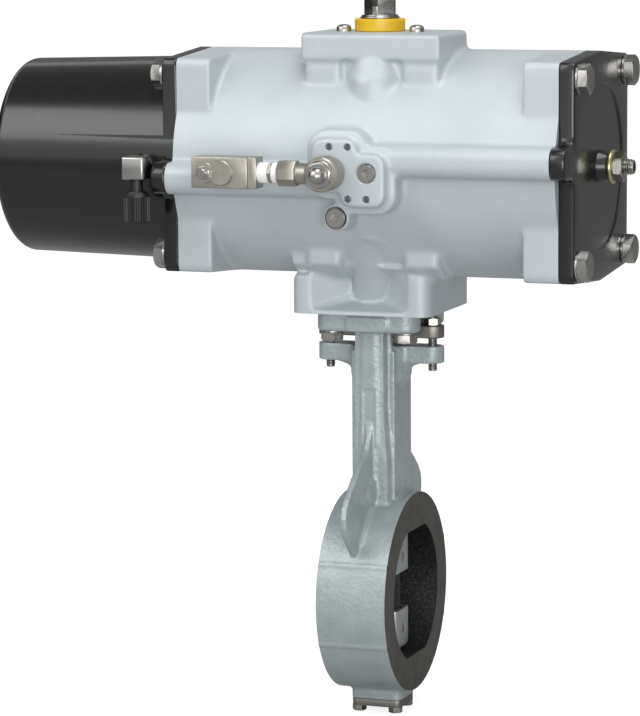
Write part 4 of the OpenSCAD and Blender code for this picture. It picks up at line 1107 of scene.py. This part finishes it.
def breather():
    """Street elbow, nickel plated, and the ribbed plastic silencer screwed into it."""
    x, back = BREATHER_X, -77
    elbow = block("breather_elbow", (x - 7.5, back - 15, AXIS_Z - 7.4), (x + 7.5, back, AXIS_Z + 7.2))
    soften(elbow, 1.4, 60, 3)
    cut_away(elbow, rod("z", (x, back - 7.5, AXIS_Z), 4.05, -9, 0, 32))
    stub = threaded("stub", "y", (x, 0, AXIS_Z), 4.45, back - 1, back + 13, 1.3)
    fit_out(smooth(gather("breather_elbow", elbow, stub), 35), "valve", bright, "nickel_plate", "elbow")
    ribs = []
    for i in range(96):
        radius = 9.0 if i % 4 in (0, 1) else 8.25  # ridge or groove
        ribs += arc(x, back - 7.5, radius, i * 3.75, i * 3.75, 1)[:1]
    knurl = slab("ribbed_silencer", "z", ribs, AXIS_Z - 33.5, AXIS_Z - 18.5)
    where = (x, back - 7.5, AXIS_Z)
    top = turned("top", "z", where, [(-19, 8.1), (-17.6, 8.1), (-15.6, 6.2), (-15, 6.0)], 48)
    foot = turned("foot", "z", where, [(-33, 8.1), (-34.5, 7.2), (-34.5, 5.6), (-32, 5.2)], 48)
    neck = rod("z", where, 4, -16, -2, 32)
    fit_out(smooth(gather("ribbed_silencer", knurl, top, foot, neck), 30), "valve", breather_plastic,
            "black_plastic", "silencer")


# Shaft top, disc, gland and bottom cover

def dressed(node, name, body, material, slot, width, angle=40, segments=2):
    """A turned or milled piece of the model with its edges broken."""
    piece = cad_copy(node, name)
    open_mesh()
    bpy.ops.mesh.dissolve_limited(angle_limit=radians(0.5))
    mode("OBJECT")
    if width:
        soften(piece, width, angle, segments)
    smooth(piece, 35)
    return fit_out(piece, body, material, slot, node)


def thrust_washer():
    """Yellow acetal thrust ring under the shaft clip, its edges just broken."""
    low = TOP_Z
    ring = turned("acetal_ring", "z", (0, 0, 0), [
        (low, 10.3), (low, 15.5), (low + 0.5, 16), (low + 7.4, 16), (low + 8, 15.4), (low + 8, 10.3)],
        96, ring=True)
    cut_away(ring, rod("z", (0, 0, 0), 13.3, low - 1, low + 1.3, 64))
    fit_out(smooth(ring, 35), "valve", acetal, "yellow_plastic", "thrust_ring")


def drive_shaft():
    """Pinion shaft; its top is milled square, with corners along and across the pipe, and slotted."""
    shaft = cad_copy("output_shaft", "drive_shaft")
    cut_away(shaft, block("old_top", (-15, -15, AXIS_Z + 93.6), (15, 15, AXIS_Z + 110)))
    soften(shaft, 0.3, 40, 2)
    end = turned("end", "z", ON_AXIS, [(93.2, 10.2), (102.4, 10.2), (103, 9.6)], 96)
    keep_within(end, prism("square", "z", ON_AXIS, 16.5, 90, 106, 4))
    soften(end, 0.3, 30, 2)
    cut_away(end, block("slot", (-2, -15, AXIS_Z + 98.8), (2, 15, AXIS_Z + 104)))
    bright_part("drive_shaft", "output_shaft", shaft, end, body="drive_train", angle=35)


def disc_casting():
    """Cast disc with machined hubs, saddle between them and drilled pin holes."""
    disc = cad_copy("disc", "disc_casting")
    disc = gather("disc_casting", disc, *[rod("x", (0, 0, z), 3.5, -13, 13, 24) for z in PIN_ZS])
    foundry_skin(disc, 0.65, 4)
    cut_away(disc, gather("pin_holes", *[rod("x", (0, 0, z), 3.05, -13.5, 20, 32) for z in PIN_ZS]))
    disc.data.materials.clear()
    disc.data.materials.append(hub_steel)
    # The saddle between the hubs takes the same near-black scale: rough as cast, and painted darker than the
    # disc's metal as painted shade deep in the bore between the hubs
    repaint(disc, scale, lambda p, n: abs(p.z) < 11.9 and abs(p.y) < 25)
    smooth(disc, 40)
    fit_out(disc, "drive_train", None, "stainless_cast", "disc")


for make in (actuator_casting, valve_casting, spring_cup, end_plate, cover_fasteners, travel_stop,
             yoke_fasteners, gland_fasteners, foot_bolts, banjo, nipple_and_tape, flow_controller,
             socket_plugs, pan_screws, breather, thrust_washer, disc_casting, drive_shaft):
    make()
for node, name, edge in (("shaft_washer", "thin_washer", 0.15), ("shaft_clip", "retaining_clip", 0.15),
                         ("stem", "valve_stem", 0.3), ("disc_pins", "taper_pins", 0.3)):
    dressed(node, name, "drive_train", bright, "stainless_steel", edge)
dressed("gland_plate", "packing_plate", "valve", dull_steel, "grey_cast_steel", 1.2, 50, 3)
dressed("bottom_cover", "foot_cover", "valve", dull_steel, "grey_cast_steel", 0.8, 50, 3)
dressed("seat_retainer", "seat_clamp_ring", "valve", bright, "stainless_steel", 0.4)
dressed("retainer_screws", "seat_screws", "valve", bright, "stainless_steel", 0.25)

bpy.context.scene.view_settings.view_transform = "Standard"
camera()
studio()
pale_floor()
